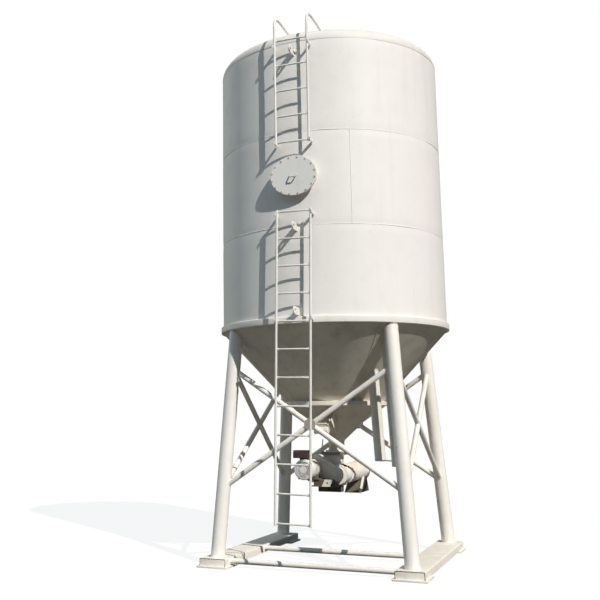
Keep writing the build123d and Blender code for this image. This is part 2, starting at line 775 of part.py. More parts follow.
# Outlet chute: flared sheet skirt under the back end of the tube.
chute_y = feeder_back - chute_top_length / 2 - feeder_flange
chute_head = feeder_axis - feeder_radius / 2
with BuildPart() as outlet_chute:
    with BuildSketch(Plane(origin=(feeder_x, chute_y, chute_head))):
        Rectangle(chute_top_width, chute_top_length)
    with BuildSketch(Plane(origin=(feeder_x, chute_y - chute_bottom_shift, chute_bottom_height))):
        Rectangle(chute_bottom_width, chute_bottom_length)
    loft()
    with BuildSketch(Plane(origin=(feeder_x, chute_y, chute_head))):
        Rectangle(chute_top_width - 2 * sheet, chute_top_length - 2 * sheet)
    with BuildSketch(Plane(origin=(feeder_x, chute_y - chute_bottom_shift, chute_bottom_height))):
        Rectangle(chute_bottom_width - 2 * sheet, chute_bottom_length - 2 * sheet)
    loft(mode=Mode.SUBTRACT)
    with BuildSketch(Plane(origin=(feeder_x, feeder_front - 10, feeder_axis), z_dir=(0, 1, 0))):
        Circle(feeder_radius)
    extrude(amount=feeder_back - feeder_front + 10, mode=Mode.SUBTRACT)
    with BuildSketch(Plane(origin=(feeder_x, feeder_back, feeder_axis), z_dir=(0, 1, 0))):
        Circle(feeder_flange_radius)
    extrude(amount=feeder_flange, mode=Mode.SUBTRACT)
outlet_chute.part.label = "outlet_chute"
export_step(outlet_chute.part.moved(row_place), "parts/outlet_chute.step")

# Belt guard: flat closed housing round the motor pulley and the screw pulley.
with BuildPart() as belt_guard:
    with BuildSketch(Plane.XZ.offset(-guard_back)):
        with Locations((motor_x, motor_axis)):
            Circle(guard_big_radius)
        with Locations((feeder_x, feeder_axis)):
            Circle(guard_small_radius)
        make_hull()
    extrude(amount=guard_thickness)
belt_guard.part.label = "belt_guard"
export_step(belt_guard.part.moved(row_place), "parts/belt_guard.step")

# Motor: round body with a wider fan cowl at the front and a terminal box on its left shoulder.
with BuildPart() as feeder_motor:
    with BuildSketch(Plane(origin=(motor_x, motor_back, motor_axis), z_dir=(0, -1, 0))):
        Circle(motor_radius)
    extrude(amount=motor_length - 20)
    with BuildSketch(
        Plane(origin=(motor_x, motor_back - motor_length + fan_cowl_length, motor_axis), z_dir=(0, -1, 0))
    ):
        Circle(fan_cowl_radius)
    extrude(amount=fan_cowl_length)
    front_edges = feeder_motor.edges().filter_by(GeomType.CIRCLE).sort_by(Axis.Y)[:1]
    fillet(front_edges, radius=16)
    box_y = motor_back - motor_length / 2 + motor_foot_width / 2
    with Locations((motor_x - 1.2 * motor_radius, box_y, motor_axis + 1.4 * motor_radius)):
        Box(terminal_width, terminal_length, terminal_height)
    with Locations((motor_x - 0.75 * motor_radius, box_y, motor_axis + 0.75 * motor_radius)):
        Box(0.5 * terminal_width, 0.8 * terminal_length, 0.6 * terminal_height)
feeder_motor.part.label = "feeder_motor"
export_step(feeder_motor.part.moved(row_place), "parts/feeder_motor.step")

# Motor base: plate under motor and tube, with two motor feet and a box stiffener below.
base_left = motor_x - base_left_reach
base_right = feeder_x + base_right_reach
base_front = motor_back - base_front_reach
base_back = feeder_front + base_back_reach
foot_y = motor_back - 0.75 * motor_foot_length
with BuildPart() as motor_base:
    with Locations(((base_left + base_right) / 2, (base_front + base_back) / 2, base_top)):
        Box(
            base_right - base_left,
            base_back - base_front,
            base_thickness,
            align=(Align.CENTER, Align.CENTER, Align.MAX),
        )
    with Locations((base_right - 0.57 * stiffener_width, feeder_front + motor_foot_width, base_top)):
        Box(
            stiffener_width,
            stiffener_length,
            stiffener_height,
            align=(Align.CENTER, Align.CENTER, Align.MAX),
        )
    with Locations((motor_x, foot_y, base_top)):
        with GridLocations(motor_foot_spread, 0, 2, 1):
            Box(
                motor_foot_width,
                motor_foot_length,
                motor_foot_height,
                align=(Align.CENTER, Align.CENTER, Align.MIN),
            )
    with BuildSketch(Plane(origin=(motor_x, motor_back - motor_length, motor_axis), z_dir=(0, 1, 0))):
        Circle(motor_radius)
    extrude(amount=motor_length, mode=Mode.SUBTRACT)
motor_base.part.label = "motor_base"
export_step(motor_base.part.moved(row_place), "parts/motor_base.step")

# Vibrator mount: base plate on two ribs welded along the lower cone, with a longer rib beside it.
mount_height = outlet_top + vibrator_rise
mount_radius = outlet_radius + low_cone_slope * vibrator_rise
mount_out = Vector(0, -1, -low_cone_slope).normalized()
mount_plane = Plane(
    origin=Vector(-mount_length / 2, -mount_radius, mount_height) + mount_out * mount_stand_off,
    x_dir=(1, 0, 0),
    z_dir=mount_out,
)
with BuildPart() as vibrator_mount:
    with BuildSketch(mount_plane):
        Rectangle(mount_width, mount_length)
    extrude(amount=mount_plate)
    with BuildSketch(mount_plane):
        with GridLocations(mount_width - 5 * mount_plate, 0, 2, 1):
            Rectangle(mount_plate, mount_rib_length)
    extrude(amount=-1.6 * mount_stand_off)
    with BuildSketch(mount_plane):
        with Locations((mount_width / 2 + mount_plate, 0), (mount_width / 2 + 3.5 * mount_plate, 0)):
            Rectangle(0.8 * mount_plate, side_rib_length)
    extrude(amount=-1.6 * mount_stand_off)
    add(cone_envelope.part, mode=Mode.SUBTRACT)
vibrator_mount.part.label = "vibrator_mount"
export_step(vibrator_mount.part.moved(row_place), "parts/vibrator_mount.step")

# Vibrator: round body lying across the mount plate, with capped ends.
plate_face = mount_plane.origin + mount_out * mount_plate
body_point = plate_face + mount_out * vibrator_stand
with BuildPart() as vibrator:
    with BuildSketch(Plane(origin=body_point - Vector(vibrator_length / 2, 0, 0), z_dir=(1, 0, 0))):
        Circle(vibrator_radius)
    extrude(amount=vibrator_length)
    with BuildSketch(Plane(origin=plate_face, x_dir=(1, 0, 0), z_dir=mount_out)):
        Rectangle(vibrator_foot_width, vibrator_foot_length)
    extrude(amount=vibrator_stand)
vibrator.part.label = "vibrator"
export_step(vibrator.part.moved(row_place), "parts/vibrator.step")
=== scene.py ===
import bmesh
import bpy
import numpy as np
from mathutils import Matrix, Vector


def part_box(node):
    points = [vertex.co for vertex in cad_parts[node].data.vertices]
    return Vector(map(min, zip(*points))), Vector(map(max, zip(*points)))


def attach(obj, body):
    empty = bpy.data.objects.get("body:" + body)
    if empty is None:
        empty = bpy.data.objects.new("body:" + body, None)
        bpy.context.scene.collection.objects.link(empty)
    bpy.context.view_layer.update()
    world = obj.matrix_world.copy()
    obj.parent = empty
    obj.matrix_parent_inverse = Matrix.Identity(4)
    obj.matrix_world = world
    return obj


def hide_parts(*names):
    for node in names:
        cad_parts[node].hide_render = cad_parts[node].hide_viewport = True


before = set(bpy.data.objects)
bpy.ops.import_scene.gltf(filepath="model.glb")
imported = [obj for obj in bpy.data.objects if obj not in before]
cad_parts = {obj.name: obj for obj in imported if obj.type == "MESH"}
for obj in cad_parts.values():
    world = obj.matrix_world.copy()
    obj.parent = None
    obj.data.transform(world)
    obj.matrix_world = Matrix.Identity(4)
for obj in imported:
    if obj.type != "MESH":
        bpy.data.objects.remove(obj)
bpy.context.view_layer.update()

# The camera stands at eye height, to the right of the ladder side, and looks a little upwards.
# Its shift keeps the silo left of the middle of the frame, as it was pictured.
camera_data = bpy.data.cameras.new("camera")
camera_data.sensor_fit = "HORIZONTAL"
camera_data.sensor_width = 36.0
camera_data.lens = 52.614
camera_data.shift_x = 0.1334
camera_data.shift_y = -0.0564
camera = bpy.data.objects.new("camera", camera_data)
bpy.context.collection.objects.link(camera)
bpy.context.scene.camera = camera
rise = np.radians(9.916)
tilt = np.radians(-0.185)
heading = Vector((-0.402, 0.9156, 0.0)).normalized()
ahead = heading * float(np.cos(rise)) + Vector((0, 0, float(np.sin(rise))))
right = ahead.cross(Vector((0, 0, 1))).normalized()
above = right.cross(ahead)
right, above = (
    right * float(np.cos(tilt)) + above * float(np.sin(tilt)),
    above * float(np.cos(tilt)) - right * float(np.sin(tilt)),
)
turn = Matrix((right, above, -ahead)).transposed().to_4x4()
camera.matrix_world = Matrix.Translation((3.045, -10.314, 1.608)) @ turn

# Daylight: one high lamp from the right of the ladder side, a weak warm one from the left that
# stands for light thrown back by the yard, a soft blue one in front, and a clear blue sky. Behind
# the object all is white.
scene = bpy.context.scene
scene.view_settings.view_transform = "Standard"


def lamp_from(name, azimuth, elevation, strength, colour, spread):
    """A sun lamp seen at an azimuth from -Y towards +X and an elevation, in degrees."""
    data = bpy.data.lights.new(name, "SUN")
    data.energy = strength
    data.color = colour
    data.angle = np.radians(spread)
    lamp = bpy.data.objects.new(name, data)
    bpy.context.collection.objects.link(lamp)
    a, e = np.radians(azimuth), np.radians(elevation)
    towards = Vector((np.cos(e) * np.sin(a), -np.cos(e) * np.cos(a), np.sin(e)))
    lamp.rotation_euler = towards.to_track_quat("Z", "Y").to_euler()


lamp_from("key_lamp", 54.4, 40.5, 4.1, (1.0, 0.965, 0.92), 0.6)
lamp_from("fill_lamp", -104.0, 24.0, 0.8, (1.0, 0.97, 0.86), 50.0)
lamp_from("front_lamp", -20.0, 58.0, 0.42, (0.6, 0.89, 1.1), 60.0)


def add_node(tree, kind, inputs=(), **settings):
    """A node of a kind with its settings. Each pair in inputs gives a socket a value or another's link."""
    node = tree.nodes.new(kind)
    for name, value in settings.items():
        setattr(node, name, value)
    for key, value in dict(inputs).items():
        if isinstance(value, bpy.types.NodeSocket):
            tree.links.new(value, node.inputs[key])
        else:
            node.inputs[key].default_value = value
    return node


white = (1, 1, 1, 1)
world = bpy.data.worlds.new("sky")
scene.world = world
world.use_nodes = True
sky = world.node_tree
sky.nodes.clear()
rays = add_node(sky, "ShaderNodeLightPath").outputs
seen = {0: rays["Is Camera Ray"], 1: rays["Is Transmission Ray"]}
seen = add_node(sky, "ShaderNodeMath", seen, operation="MAXIMUM")
sky_light = add_node(sky, "ShaderNodeBackground", {"Color": (0.5, 0.74, 1.0, 1), "Strength": 0.16})
sky_white = add_node(sky, "ShaderNodeBackground", {"Color": white, "Strength": 1.0})
sky_mix = {0: seen.outputs[0], 1: sky_light.outputs[0], 2: sky_white.outputs[0]}
sky_mix = add_node(sky, "ShaderNodeMixShader", sky_mix)
add_node(sky, "ShaderNodeOutputWorld", {"Surface": sky_mix.outputs[0]})

# The yard: a flat pale floor that keeps a faint shadow and throws back as little light
# as packed ground does.
floor_mesh = bpy.data.meshes.new("yard_floor")
angles = np.linspace(0, 2 * np.pi, 64, endpoint=False)
floor_rim = np.stack([80 * np.cos(angles), 80 * np.sin(angles), np.zeros(64)], axis=1)
floor_mesh.from_pydata(floor_rim.tolist(), [], [list(range(64))])
floor = bpy.data.objects.new("yard_floor", floor_mesh)
bpy.context.collection.objects.link(floor)
floor_paint = bpy.data.materials.new("yard_floor")
floor_paint.use_nodes = True
ground = floor_paint.node_tree
ground.nodes.clear()
dull = add_node(ground, "ShaderNodeBsdfDiffuse", {"Color": (0.11, 0.1, 0.085, 1)})
pale = add_node(ground, "ShaderNodeBsdfDiffuse", {"Color": white})
glow = add_node(ground, "ShaderNodeEmission", {"Color": white, "Strength": 1.0})
shown = add_node(ground, "ShaderNodeMixShader", {0: 0.88, 1: pale.outputs[0], 2: glow.outputs[0]})
rays = add_node(ground, "ShaderNodeLightPath").outputs
picked = {0: rays["Is Camera Ray"], 1: dull.outputs[0], 2: shown.outputs[0]}
picked = add_node(ground, "ShaderNodeMixShader", picked)
add_node(ground, "ShaderNodeOutputMaterial", {"Surface": picked.outputs[0]})
floor_mesh.materials.append(floor_paint)

# The paint on the steelwork is brushed and rolled on. It has faded unevenly, with dust on what
# faces up, run marks down the walls, brown bleeding from chips and a fine orange peel.


def weathering_group():
    """The group that mottles, streaks, dusts and chips a paint; it gives colour, roughness and height."""
    group = bpy.data.node_groups.new("weathering", "ShaderNodeTree")
    for way, kind, names in (
        ("INPUT", "Color", ("Paint", "Dirt", "Rust", "Dust")),
        ("INPUT", "Float", ("Mottle", "Streaks", "Specks", "Settled", "Gloss")),
        ("OUTPUT", "Color", ("Colour",)),
        ("OUTPUT", "Float", ("Roughness", "Height")),
    ):
        for name in names:
            group.interface.new_socket(name=name, in_out=way, socket_type="NodeSocket" + kind)
    given = add_node(group, "NodeGroupInput").outputs
    place = add_node(group, "ShaderNodeTexCoord").outputs

    def noise(scale, detail, stretch=None):
        spot = place["Object"]
        if stretch:
            spot = add_node(group, "ShaderNodeMapping", {"Vector": spot, "Scale": stretch}).outputs[0]
        grain = add_node(group, "ShaderNodeTexNoise", {"Vector": spot, "Scale": scale, "Detail": detail})
        return grain.outputs["Fac"]

    def ramp(value, low, high):
        span = {"Value": value, "From Min": low, "From Max": high}
        return add_node(group, "ShaderNodeMapRange", span, interpolation_type="SMOOTHSTEP").outputs["Result"]

    def calc(kind, first, second):
        return add_node(group, "ShaderNodeMath", {0: first, 1: second}, operation=kind).outputs[0]

    def blend(factor, under, over):
        return add_node(group, "ShaderNodeMix", {0: factor, 6: under, 7: over}, data_type="RGBA").outputs[2]

    cloud = calc("MULTIPLY", ramp(noise(0.9, 4.0), 0.3, 0.75), given["Mottle"])
    patch = calc("MULTIPLY", ramp(noise(6.0, 5.0), 0.45, 0.8), given["Mottle"])
    fade = calc("ADD", cloud, patch)
    colour = blend(fade, given["Paint"], given["Dirt"])
    run = calc("MULTIPLY", ramp(noise(1.0, 3.0, (9.0, 9.0, 0.45)), 0.5, 0.78), given["Streaks"])
    colour = blend(run, colour, given["Dirt"])
    facing = add_node(group, "ShaderNodeSeparateXYZ", {0: place["Normal"]}).outputs["Z"]
    settled = calc("MULTIPLY", ramp(facing, 0.15, 0.8), ramp(noise(11.0, 5.0), 0.25, 0.65))
    settled = calc("MULTIPLY", settled, given["Settled"])
    colour = blend(settled, colour, given["Dust"])
    speck = ramp(noise(75.0, 2.0), 0.69, 0.73)
    gather = ramp(noise(2.3, 3.0), 0.5, 0.72)
    chip = calc("MULTIPLY", ramp(noise(24.0, 6.0), 0.7, 0.76), gather)
    speck = calc("MAXIMUM", calc("MULTIPLY", speck, gather), chip)
    speck = calc("MULTIPLY", speck, given["Specks"])
    colour = blend(speck, colour, given["Rust"])
    rough = calc("ADD", given["Gloss"], calc("MULTIPLY", fade, 1.2))
    rough = calc("ADD", rough, calc("MULTIPLY", calc("ADD", speck, settled), 0.3))
    grain = calc("MULTIPLY", noise(420.0, 2.0), 0.25)
    wave = calc("MULTIPLY", noise(14.0, 2.0), 0.6)
    height = calc("SUBTRACT", calc("ADD", grain, wave), calc("MULTIPLY", speck, 0.5))
    add_node(group, "NodeGroupOutput", {"Colour": colour, "Roughness": rough, "Height": height})
    return group


weathering = weathering_group()


def weathered(
    name, paint, dirt=(0.3, 0.25, 0.18), rust=(0.2, 0.085, 0.03), dust=(0.6, 0.5, 0.38), mottle=0.2,
    streaks=0.12, specks=0.8, settled=0.25, gloss=0.5,
):
    """A painted finish: the weathering group drives colour, roughness and a shallow bump."""
    finish = bpy.data.materials.new(name)
    finish.use_nodes = True
    tree = finish.node_tree
    tints = {"Paint": (*paint, 1), "Dirt": (*dirt, 1), "Rust": (*rust, 1), "Dust": (*dust, 1)}
    shares = {"Mottle": mottle, "Streaks": streaks, "Specks": specks, "Settled": settled, "Gloss": gloss}
    age = add_node(tree, "ShaderNodeGroup", tints | shares, node_tree=weathering).outputs
    relief = add_node(tree, "ShaderNodeBump", {"Strength": 0.15, "Distance": 0.002, "Height": age["Height"]})
    shader = tree.nodes["Principled BSDF"].inputs
    tree.links.new(age["Colour"], shader["Base Color"])
    tree.links.new(age["Roughness"], shader["Roughness"])
    tree.links.new(relief.outputs[0], shader["Normal"])
    return finish


old_dirt = (0.34, 0.29, 0.22)
cream = weathered("cream_paint", (0.83, 0.80, 0.745), old_dirt, mottle=0.08, specks=0.5, gloss=0.42)

# Shell: three courses of 6 mm plate, rolled and butt welded edge to edge. Each seam leaves a raised
# bead, the plates pull in a little beside it, and long stretches of plate stay slightly out of round.
axis_y = (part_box("roof")[0].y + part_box("roof")[1].y) / 2
shell_radius = (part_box("shell_lower_course")[1].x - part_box("shell_lower_course")[0].x) / 2
shell_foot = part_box("shell_lower_course")[0].z
shell_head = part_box("shell_upper_course")[1].z
course_height = (shell_head - shell_foot) / 3
plate_wall = 0.006
seam_heights = np.array([shell_foot + course_height, shell_foot + 2 * course_height, shell_head])
seam_turns = np.radians([152.0, 26.3, 205.0])
seam_pull = 0.0028
seam_spread = 0.07
bead_half = 0.0055
bead_sink = 0.0028


def ring_about(axis, turns):
    """Unit arms square to an axis, cos(angle) * side + sin(angle) * other, and the unit axis."""
    axis = np.asarray(axis, float) / np.linalg.norm(axis)
    side = np.cross(axis, (0.0, 0.0, 1.0))
    if np.linalg.norm(side) < 1e-6:
        side = np.array([1.0, 0.0, 0.0])
    side /= np.linalg.norm(side)
    angle = np.linspace(0, 2 * np.pi, turns + 1)[:, None]
    return np.cos(angle) * side + np.sin(angle) * np.cross(axis, side), axis


def turned(profile, turns=48, origin=(0, 0, 0), axis=(0, 0, 1)):
    """A profile of (radius, height) turned round an axis: origin + height * axis + radius * arm."""
    profile = np.asarray(profile, float)[None]
    arms, axis = ring_about(axis, turns)
    return np.asarray(origin, float) + profile[..., 1:] * axis + profile[..., :1] * arms[:, None, :]


def make_piece(name, sheets, finish, stands_for=()):
    """Joins grids of points, drawn round the shell's axis, into a piece: neighbours in a grid make faces."""
    places, faces, first = [], [], 0
    for sheet in sheets:
        rows, columns = sheet.shape[:2]
        number = first + np.arange(rows * columns).reshape(rows, columns)
        quads = np.stack([number[:-1, :-1], number[1:, :-1], number[1:, 1:], number[:-1, 1:]], axis=-1)
        places.append(sheet.reshape(-1, 3) + (0, axis_y, 0))
        faces.append(quads.reshape(-1, 4))
        first += rows * columns
    mesh = bpy.data.meshes.new(name)
    mesh.from_pydata(np.concatenate(places).tolist(), [], np.concatenate(faces).tolist())
    shape = bmesh.new()
    shape.from_mesh(mesh)
    bmesh.ops.remove_doubles(shape, verts=shape.verts, dist=2e-6)
    bmesh.ops.recalc_face_normals(shape, faces=shape.faces)
    shape.to_mesh(mesh)
    shape.free()
    mesh.polygons.foreach_set("use_smooth", np.ones(len(mesh.polygons), dtype=bool))
    mesh.set_sharp_from_angle(angle=np.radians(35.0))
    mesh.materials.append(finish)
    piece = bpy.data.objects.new(name, mesh)
    bpy.context.collection.objects.link(piece)
    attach(piece, "root")
    if stands_for:
        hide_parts(*stands_for)


def out_of_round(angle, height):
    """How far a rolled plate strays from its circle: two slow waves round it and one up it, in metres."""
    ripple = np.sin(11 * angle - 2.3 * height) * np.sin(3 * height)
    return 0.0011 * np.sin(5 * angle + 1.9 * height) + 0.0009 * ripple


def shell_sheet():
    """Radius over angle and height: the rolled radius, its stray and a dip of half a cosine at each seam."""
    angle = np.linspace(0, 2 * np.pi, 289)[:, None]
    height = np.linspace(shell_foot, shell_head, 100)[None, :]
    near = np.abs(height[..., None] - seam_heights).min(axis=-1)
    dip = seam_pull * np.where(near < seam_spread, 0.5 + 0.5 * np.cos(np.pi * near / seam_spread), 0.0)
    radius = shell_radius + out_of_round(angle, height) - dip
    height = height + 0 * angle
    inner = np.full_like(radius[:, :1], shell_radius - plate_wall)
    radius = np.concatenate([radius, inner, inner, radius[:, :1]], axis=1)
    height = np.concatenate([height, height[:, -1:], height[:, :1], height[:, :1]], axis=1)
    return np.stack([radius * np.sin(angle), -radius * np.cos(angle), height], axis=-1)


def rippled_bead(path, outward, half):
    """A weld bead: a small circle carried along a path, its size swelling by a sine of the length."""
    step = np.linalg.norm(np.diff(path, axis=0), axis=1)
    length = np.concatenate([[0.0], np.cumsum(step)])[:, None, None]
    along = np.gradient(path, axis=0)
    along /= np.linalg.norm(along, axis=1, keepdims=True)
    across = np.cross(along, outward)
    across /= np.linalg.norm(across, axis=1, keepdims=True)
    around = np.linspace(0, 2 * np.pi, 9)[None, :, None]
    swell = half * (1 + 0.13 * np.sin(2 * np.pi * length / 0.055))
    return path[:, None] + swell * (np.cos(around) * across[:, None] + np.sin(around) * outward[:, None])


def level_bead(radius, height, half=bead_half, turns=288):
    """A bead that runs once round the shell's axis."""
    angle = np.linspace(0, 2 * np.pi, turns + 1)[:, None]
    outward = np.concatenate([np.sin(angle), -np.cos(angle), 0 * angle], axis=1)
    return rippled_bead(radius * outward + (0, 0, height), outward, half)


def rising_bead(turn, low, high, half=0.0045, steps=40):
    """A bead from one (radius, height) to another at one angle; it faces out, square to that slope."""
    radius, height = np.linspace(low, high, steps).T[..., None]
    path = np.concatenate([radius * np.sin(turn), -radius * np.cos(turn), height], axis=1)
    slope = (high[0] - low[0]) / (high[1] - low[1])
    outward = np.array([[np.sin(turn), -np.cos(turn), -slope]]) / np.hypot(1, slope) + 0 * height
    return rippled_bead(path, outward, half)


shell_paint = weathered(
    "shell_paint", (0.84, 0.813, 0.775), old_dirt, mottle=0.055, streaks=0.07, specks=0.35, gloss=0.56
)
courses = ("shell_lower_course", "shell_middle_course", "shell_upper_course")
make_piece("shell_plates", [shell_sheet()], shell_paint, stands_for=courses)
seam_paint = weathered(
    "seam_paint", (0.82, 0.79, 0.745), (0.5, 0.45, 0.38), mottle=0.15, specks=0.5, gloss=0.42
)
level_beads = [level_bead(shell_radius - seam_pull - bead_sink, height) for height in seam_heights]
shell_beads = level_beads[:2]
for number, seam_turn in enumerate(seam_turns):
    ends = [(shell_radius - bead_sink, shell_foot + n * course_height) for n in (number, number + 1)]
    shell_beads.append(rising_bead(seam_turn, *ends, bead_half, 60))
make_piece("shell_welds", shell_beads, seam_paint)
make_piece("rim_weld", level_beads[2:], shell_paint)

# Roof: a dished end pressed from one plate, with a tight knuckle round its rim and a flat crown.
# It is welded on top of the upper course; dust and rain have dulled it.
knuckle_radius = 0.15
crown_radius = 3.6
knuckle_centre = shell_radius - knuckle_radius
crown_drop = np.sqrt((crown_radius - knuckle_radius) ** 2 - knuckle_centre**2)
crown_angle = np.arcsin(knuckle_centre / (crown_radius - knuckle_radius))


def dished_profile(inset):
    """Knuckle arc, then crown arc, from the rim up to the middle, moved inwards by an inset."""
    knuckle = np.linspace(0, np.pi / 2 - crown_angle, 16)
    crown = np.linspace(crown_angle, 0, 28)[1:]
    tight, flat = knuckle_radius - inset, crown_radius - inset
    radius = np.concatenate([knuckle_centre + tight * np.cos(knuckle), flat * np.sin(crown)])
    height = np.concatenate([tight * np.sin(knuckle), flat * np.cos(crown) - crown_drop])
    return np.stack([radius, shell_head + height], axis=1)


roof_profile = np.concatenate([dished_profile(plate_wall)[::-1], dished_profile(0.0)])
roof_paint = weathered(
    "roof_paint", (0.76, 0.735, 0.69), old_dirt, dust=(0.66, 0.6, 0.5), settled=0.4, mottle=0.12, specks=0.5
)
make_piece("dished_roof", [turned(roof_profile, 240)], roof_paint, stands_for=("roof",))

# Base ring: flat bar rolled on edge round the foot of the shell, its edges rounded by grinding,
# with a fillet weld above it and another below.
ring_out = (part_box("base_ring")[1].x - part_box("base_ring")[0].x) / 2
ring_low, ring_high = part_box("base_ring")[0].z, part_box("base_ring")[1].z
ring_edge = 0.004
ring_in = shell_radius - 0.003


def rounded_box(half_x, half_y, corner, steps=4):
    """A closed outline: a rectangle about the middle with its corners rounded by quarter circles."""
    quarter = np.linspace(0, np.pi / 2, steps + 1)
    arcs = [
        np.stack([
            sx * (half_x - corner) + corner * np.cos(quarter + start),
            sy * (half_y - corner) + corner * np.sin(quarter + start),
        ], axis=1)
        for sx, sy, start in ((1, 1, 0), (-1, 1, np.pi / 2), (-1, -1, np.pi), (1, -1, 1.5 * np.pi))
    ]
    return np.concatenate(arcs + [arcs[0][:1]])


ring_profile = rounded_box((ring_out - ring_in) / 2, (ring_high - ring_low) / 2, ring_edge)
ring_profile = ring_profile + ((ring_out + ring_in) / 2, (ring_low + ring_high) / 2)
make_piece("rolled_base_ring", [turned(ring_profile, 288)], cream, stands_for=("base_ring",))
ring_beads = [
    level_bead(shell_radius + 0.002, ring_high, 0.005), level_bead(ring_out - 0.018, ring_low, 0.0045)
]
make_piece("base_ring_welds", ring_beads, seam_paint)

# Cones: the upper one is rolled from four sheets, the steeper lower one from two, and both are
# welded along their slopes. The outlet neck ends in a turned flange. Their paint is darker and
# browner than the shell's, a painted shade for the shade under the silo.
cone_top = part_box("upper_cone")[1].z
cone_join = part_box("lower_cone")[1].z
band_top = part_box("cone_band")[1].z
cone_low_radius = 0.58
cone_slope = (shell_radius - cone_low_radius) / (cone_top - band_top)
join_radius = cone_low_radius - cone_slope * (band_top - cone_join)
outlet_radius = 0.095
outlet_top = 1.352
outlet_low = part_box("lower_cone")[0].z
flange_radius = 0.135
flange_top = outlet_low + 0.014
low_slope = (join_radius - outlet_radius) / (cone_join - outlet_top)

# A darker, browner copy of the cream paint: painted shade on the cones, their welds and the band.
cone_painted_shade = weathered("cone_painted_shade", (0.74, 0.70, 0.61), mottle=0.22, streaks=0.2)
upper_outer = np.linspace((join_radius, cone_join), (shell_radius - 0.001, cone_top), 24)
upper_profile = np.concatenate([upper_outer, upper_outer[::-1] - (0.0085, 0), upper_outer[:1]])
make_piece("rolled_upper_cone", [turned(upper_profile, 192)], cone_painted_shade, stands_for=("upper_cone",))
lower_profile = [
    (join_radius, cone_join), (outlet_radius, outlet_top), (outlet_radius, flange_top),
    (flange_radius - 0.002, flange_top), (flange_radius, flange_top - 0.002), (flange_radius, outlet_low),
    (outlet_radius - plate_wall, outlet_low), (outlet_radius - plate_wall, outlet_top + 0.006),
    (join_radius - 0.009, cone_join), (join_radius, cone_join),
]
make_piece("rolled_lower_cone", [turned(lower_profile, 144)], cone_painted_shade, stands_for=("lower_cone",))
upper_ends = (cone_low_radius + 0.02, band_top + 0.02), (shell_radius - 0.01, cone_top - 0.01)
lower_ends = (outlet_radius, outlet_top), (join_radius, cone_join)
cone_beads = [rising_bead(np.radians(turn), *upper_ends) for turn in (38, 128, 218, 308)]
cone_beads += [rising_bead(np.radians(turn), *lower_ends) for turn in (75, 255)]
cone_beads += [level_bead(outlet_radius + 0.001, height, 0.005, 64) for height in (outlet_top, flange_top)]
make_piece("cone_welds", cone_beads, cone_painted_shade)

# Cone band: angle bar rolled round the joint of the cones, with its flat leg on top and its upright
# leg outside, welded to the sheet above and below.
band_out = (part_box("cone_band")[1].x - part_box("cone_band")[0].x) / 2
band_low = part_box("cone_band")[0].z
band_in = band_out - 0.008
band_under = band_top - 0.008
band_profile = [
    (cone_low_radius - 0.01, band_top), (band_out - 0.004, band_top), (band_out - 0.0012, band_top - 0.0012),
    (band_out, band_top - 0.004), (band_out, band_low + 0.002), (band_out - 0.002, band_low),
    (band_in, band_low), (band_in, band_under - 0.006), (band_in - 0.006, band_under),
    (cone_low_radius - 0.02, band_under), (cone_low_radius - 0.01, band_top),
]
make_piece("rolled_cone_band", [turned(band_profile, 192)], cone_painted_shade, stands_for=("cone_band",))
make_piece("cone_band_welds", [level_bead(cone_low_radius + 0.002, band_top, 0.005, 192)], cone_painted_shade)

# Legs: four seamless pipes of 159 mm, raked outwards. Each head is cut to the cone's slope and ground
# round where it meets the ring; head and foot are closed with a fillet weld.
leg_radius = 0.0795
leg_head_offset = 0.909
plate_half = 0.18
leg_foot_offset = (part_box("foot_plates")[1].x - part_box("foot_plates")[0].x) / 2 - plate_half
beam_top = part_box("left_side_beam")[1].z
head_round = 0.016
leg_rake = (leg_foot_offset - leg_head_offset) / (ring_low - beam_top)


def on_leg(side_x, side_y, height, inset=0.0):
    """The point of a leg's axis at a height, or of a line inset from it towards the middle."""
    offset = leg_head_offset + leg_rake * (ring_low - height) - inset
    return np.array([side_x * offset, side_y * offset, height])


def run_until(start, way, span, met):
    """How far lines run along a way until they have met a form, found by halving the span 40 times."""
    low, high = np.zeros(len(start)), np.full(len(start), span)
    for _ in range(40):
        middle = (low + high) / 2
        beyond = met(start + middle[:, None] * way)
        low, high = np.where(beyond, low, middle), np.where(beyond, middle, high)
    return low[:, None]


def in_cone(point):
    """Which points are inside the upper cone, or higher than the foot of the base ring."""
    cone_radius = cone_low_radius + cone_slope * (point[:, 2] - band_top)
    inside = (np.hypot(point[:, 0], point[:, 1]) < cone_radius) & (point[:, 2] > band_top)
    return inside | (point[:, 2] > ring_low)


def lines_to_cone(foot, head, radius, level, turns):
    """Lines along a pipe's wall, from a level cut up to the cone: their starts, lengths, arms and axis."""
    ring, axis = ring_about(head - foot, turns)
    start = foot + radius * ring
    start = start - axis * (start[:, 2:] - level) / axis[2]
    return start, run_until(start, axis, 3.0, in_cone), ring, axis


def leg_sheets(side_x, side_y):
    """A pipe whose length depends on the angle round it, with a rounded head, and the curve of its head."""
    foot, head = on_leg(side_x, side_y, beam_top), on_leg(side_x, side_y, ring_low + 0.1)
    start, length, ring, axis = lines_to_cone(foot, head, leg_radius, beam_top, 72)
    curl = np.linspace(0, np.pi / 2, 6)[None, 1:]
    share = np.linspace(0, 1, 8)[None, :]
    reach = np.concatenate([share * (length - head_round), length - head_round * (1 - np.sin(curl))], axis=1)
    shrink = np.concatenate([0 * share, head_round * (1 - np.cos(curl))], axis=1)
    points = start[:, None, :] - shrink[..., None] * ring[:, None, :] + reach[..., None] * axis
    crown = np.broadcast_to(points[:, -1].mean(axis=0), points[:, :1].shape)
    sole = np.broadcast_to(foot, points[:, :1].shape)
    head_curve = start + (length - head_round * 0.55) * axis
    return np.concatenate([sole, points, crown], axis=1), start, head_curve, ring


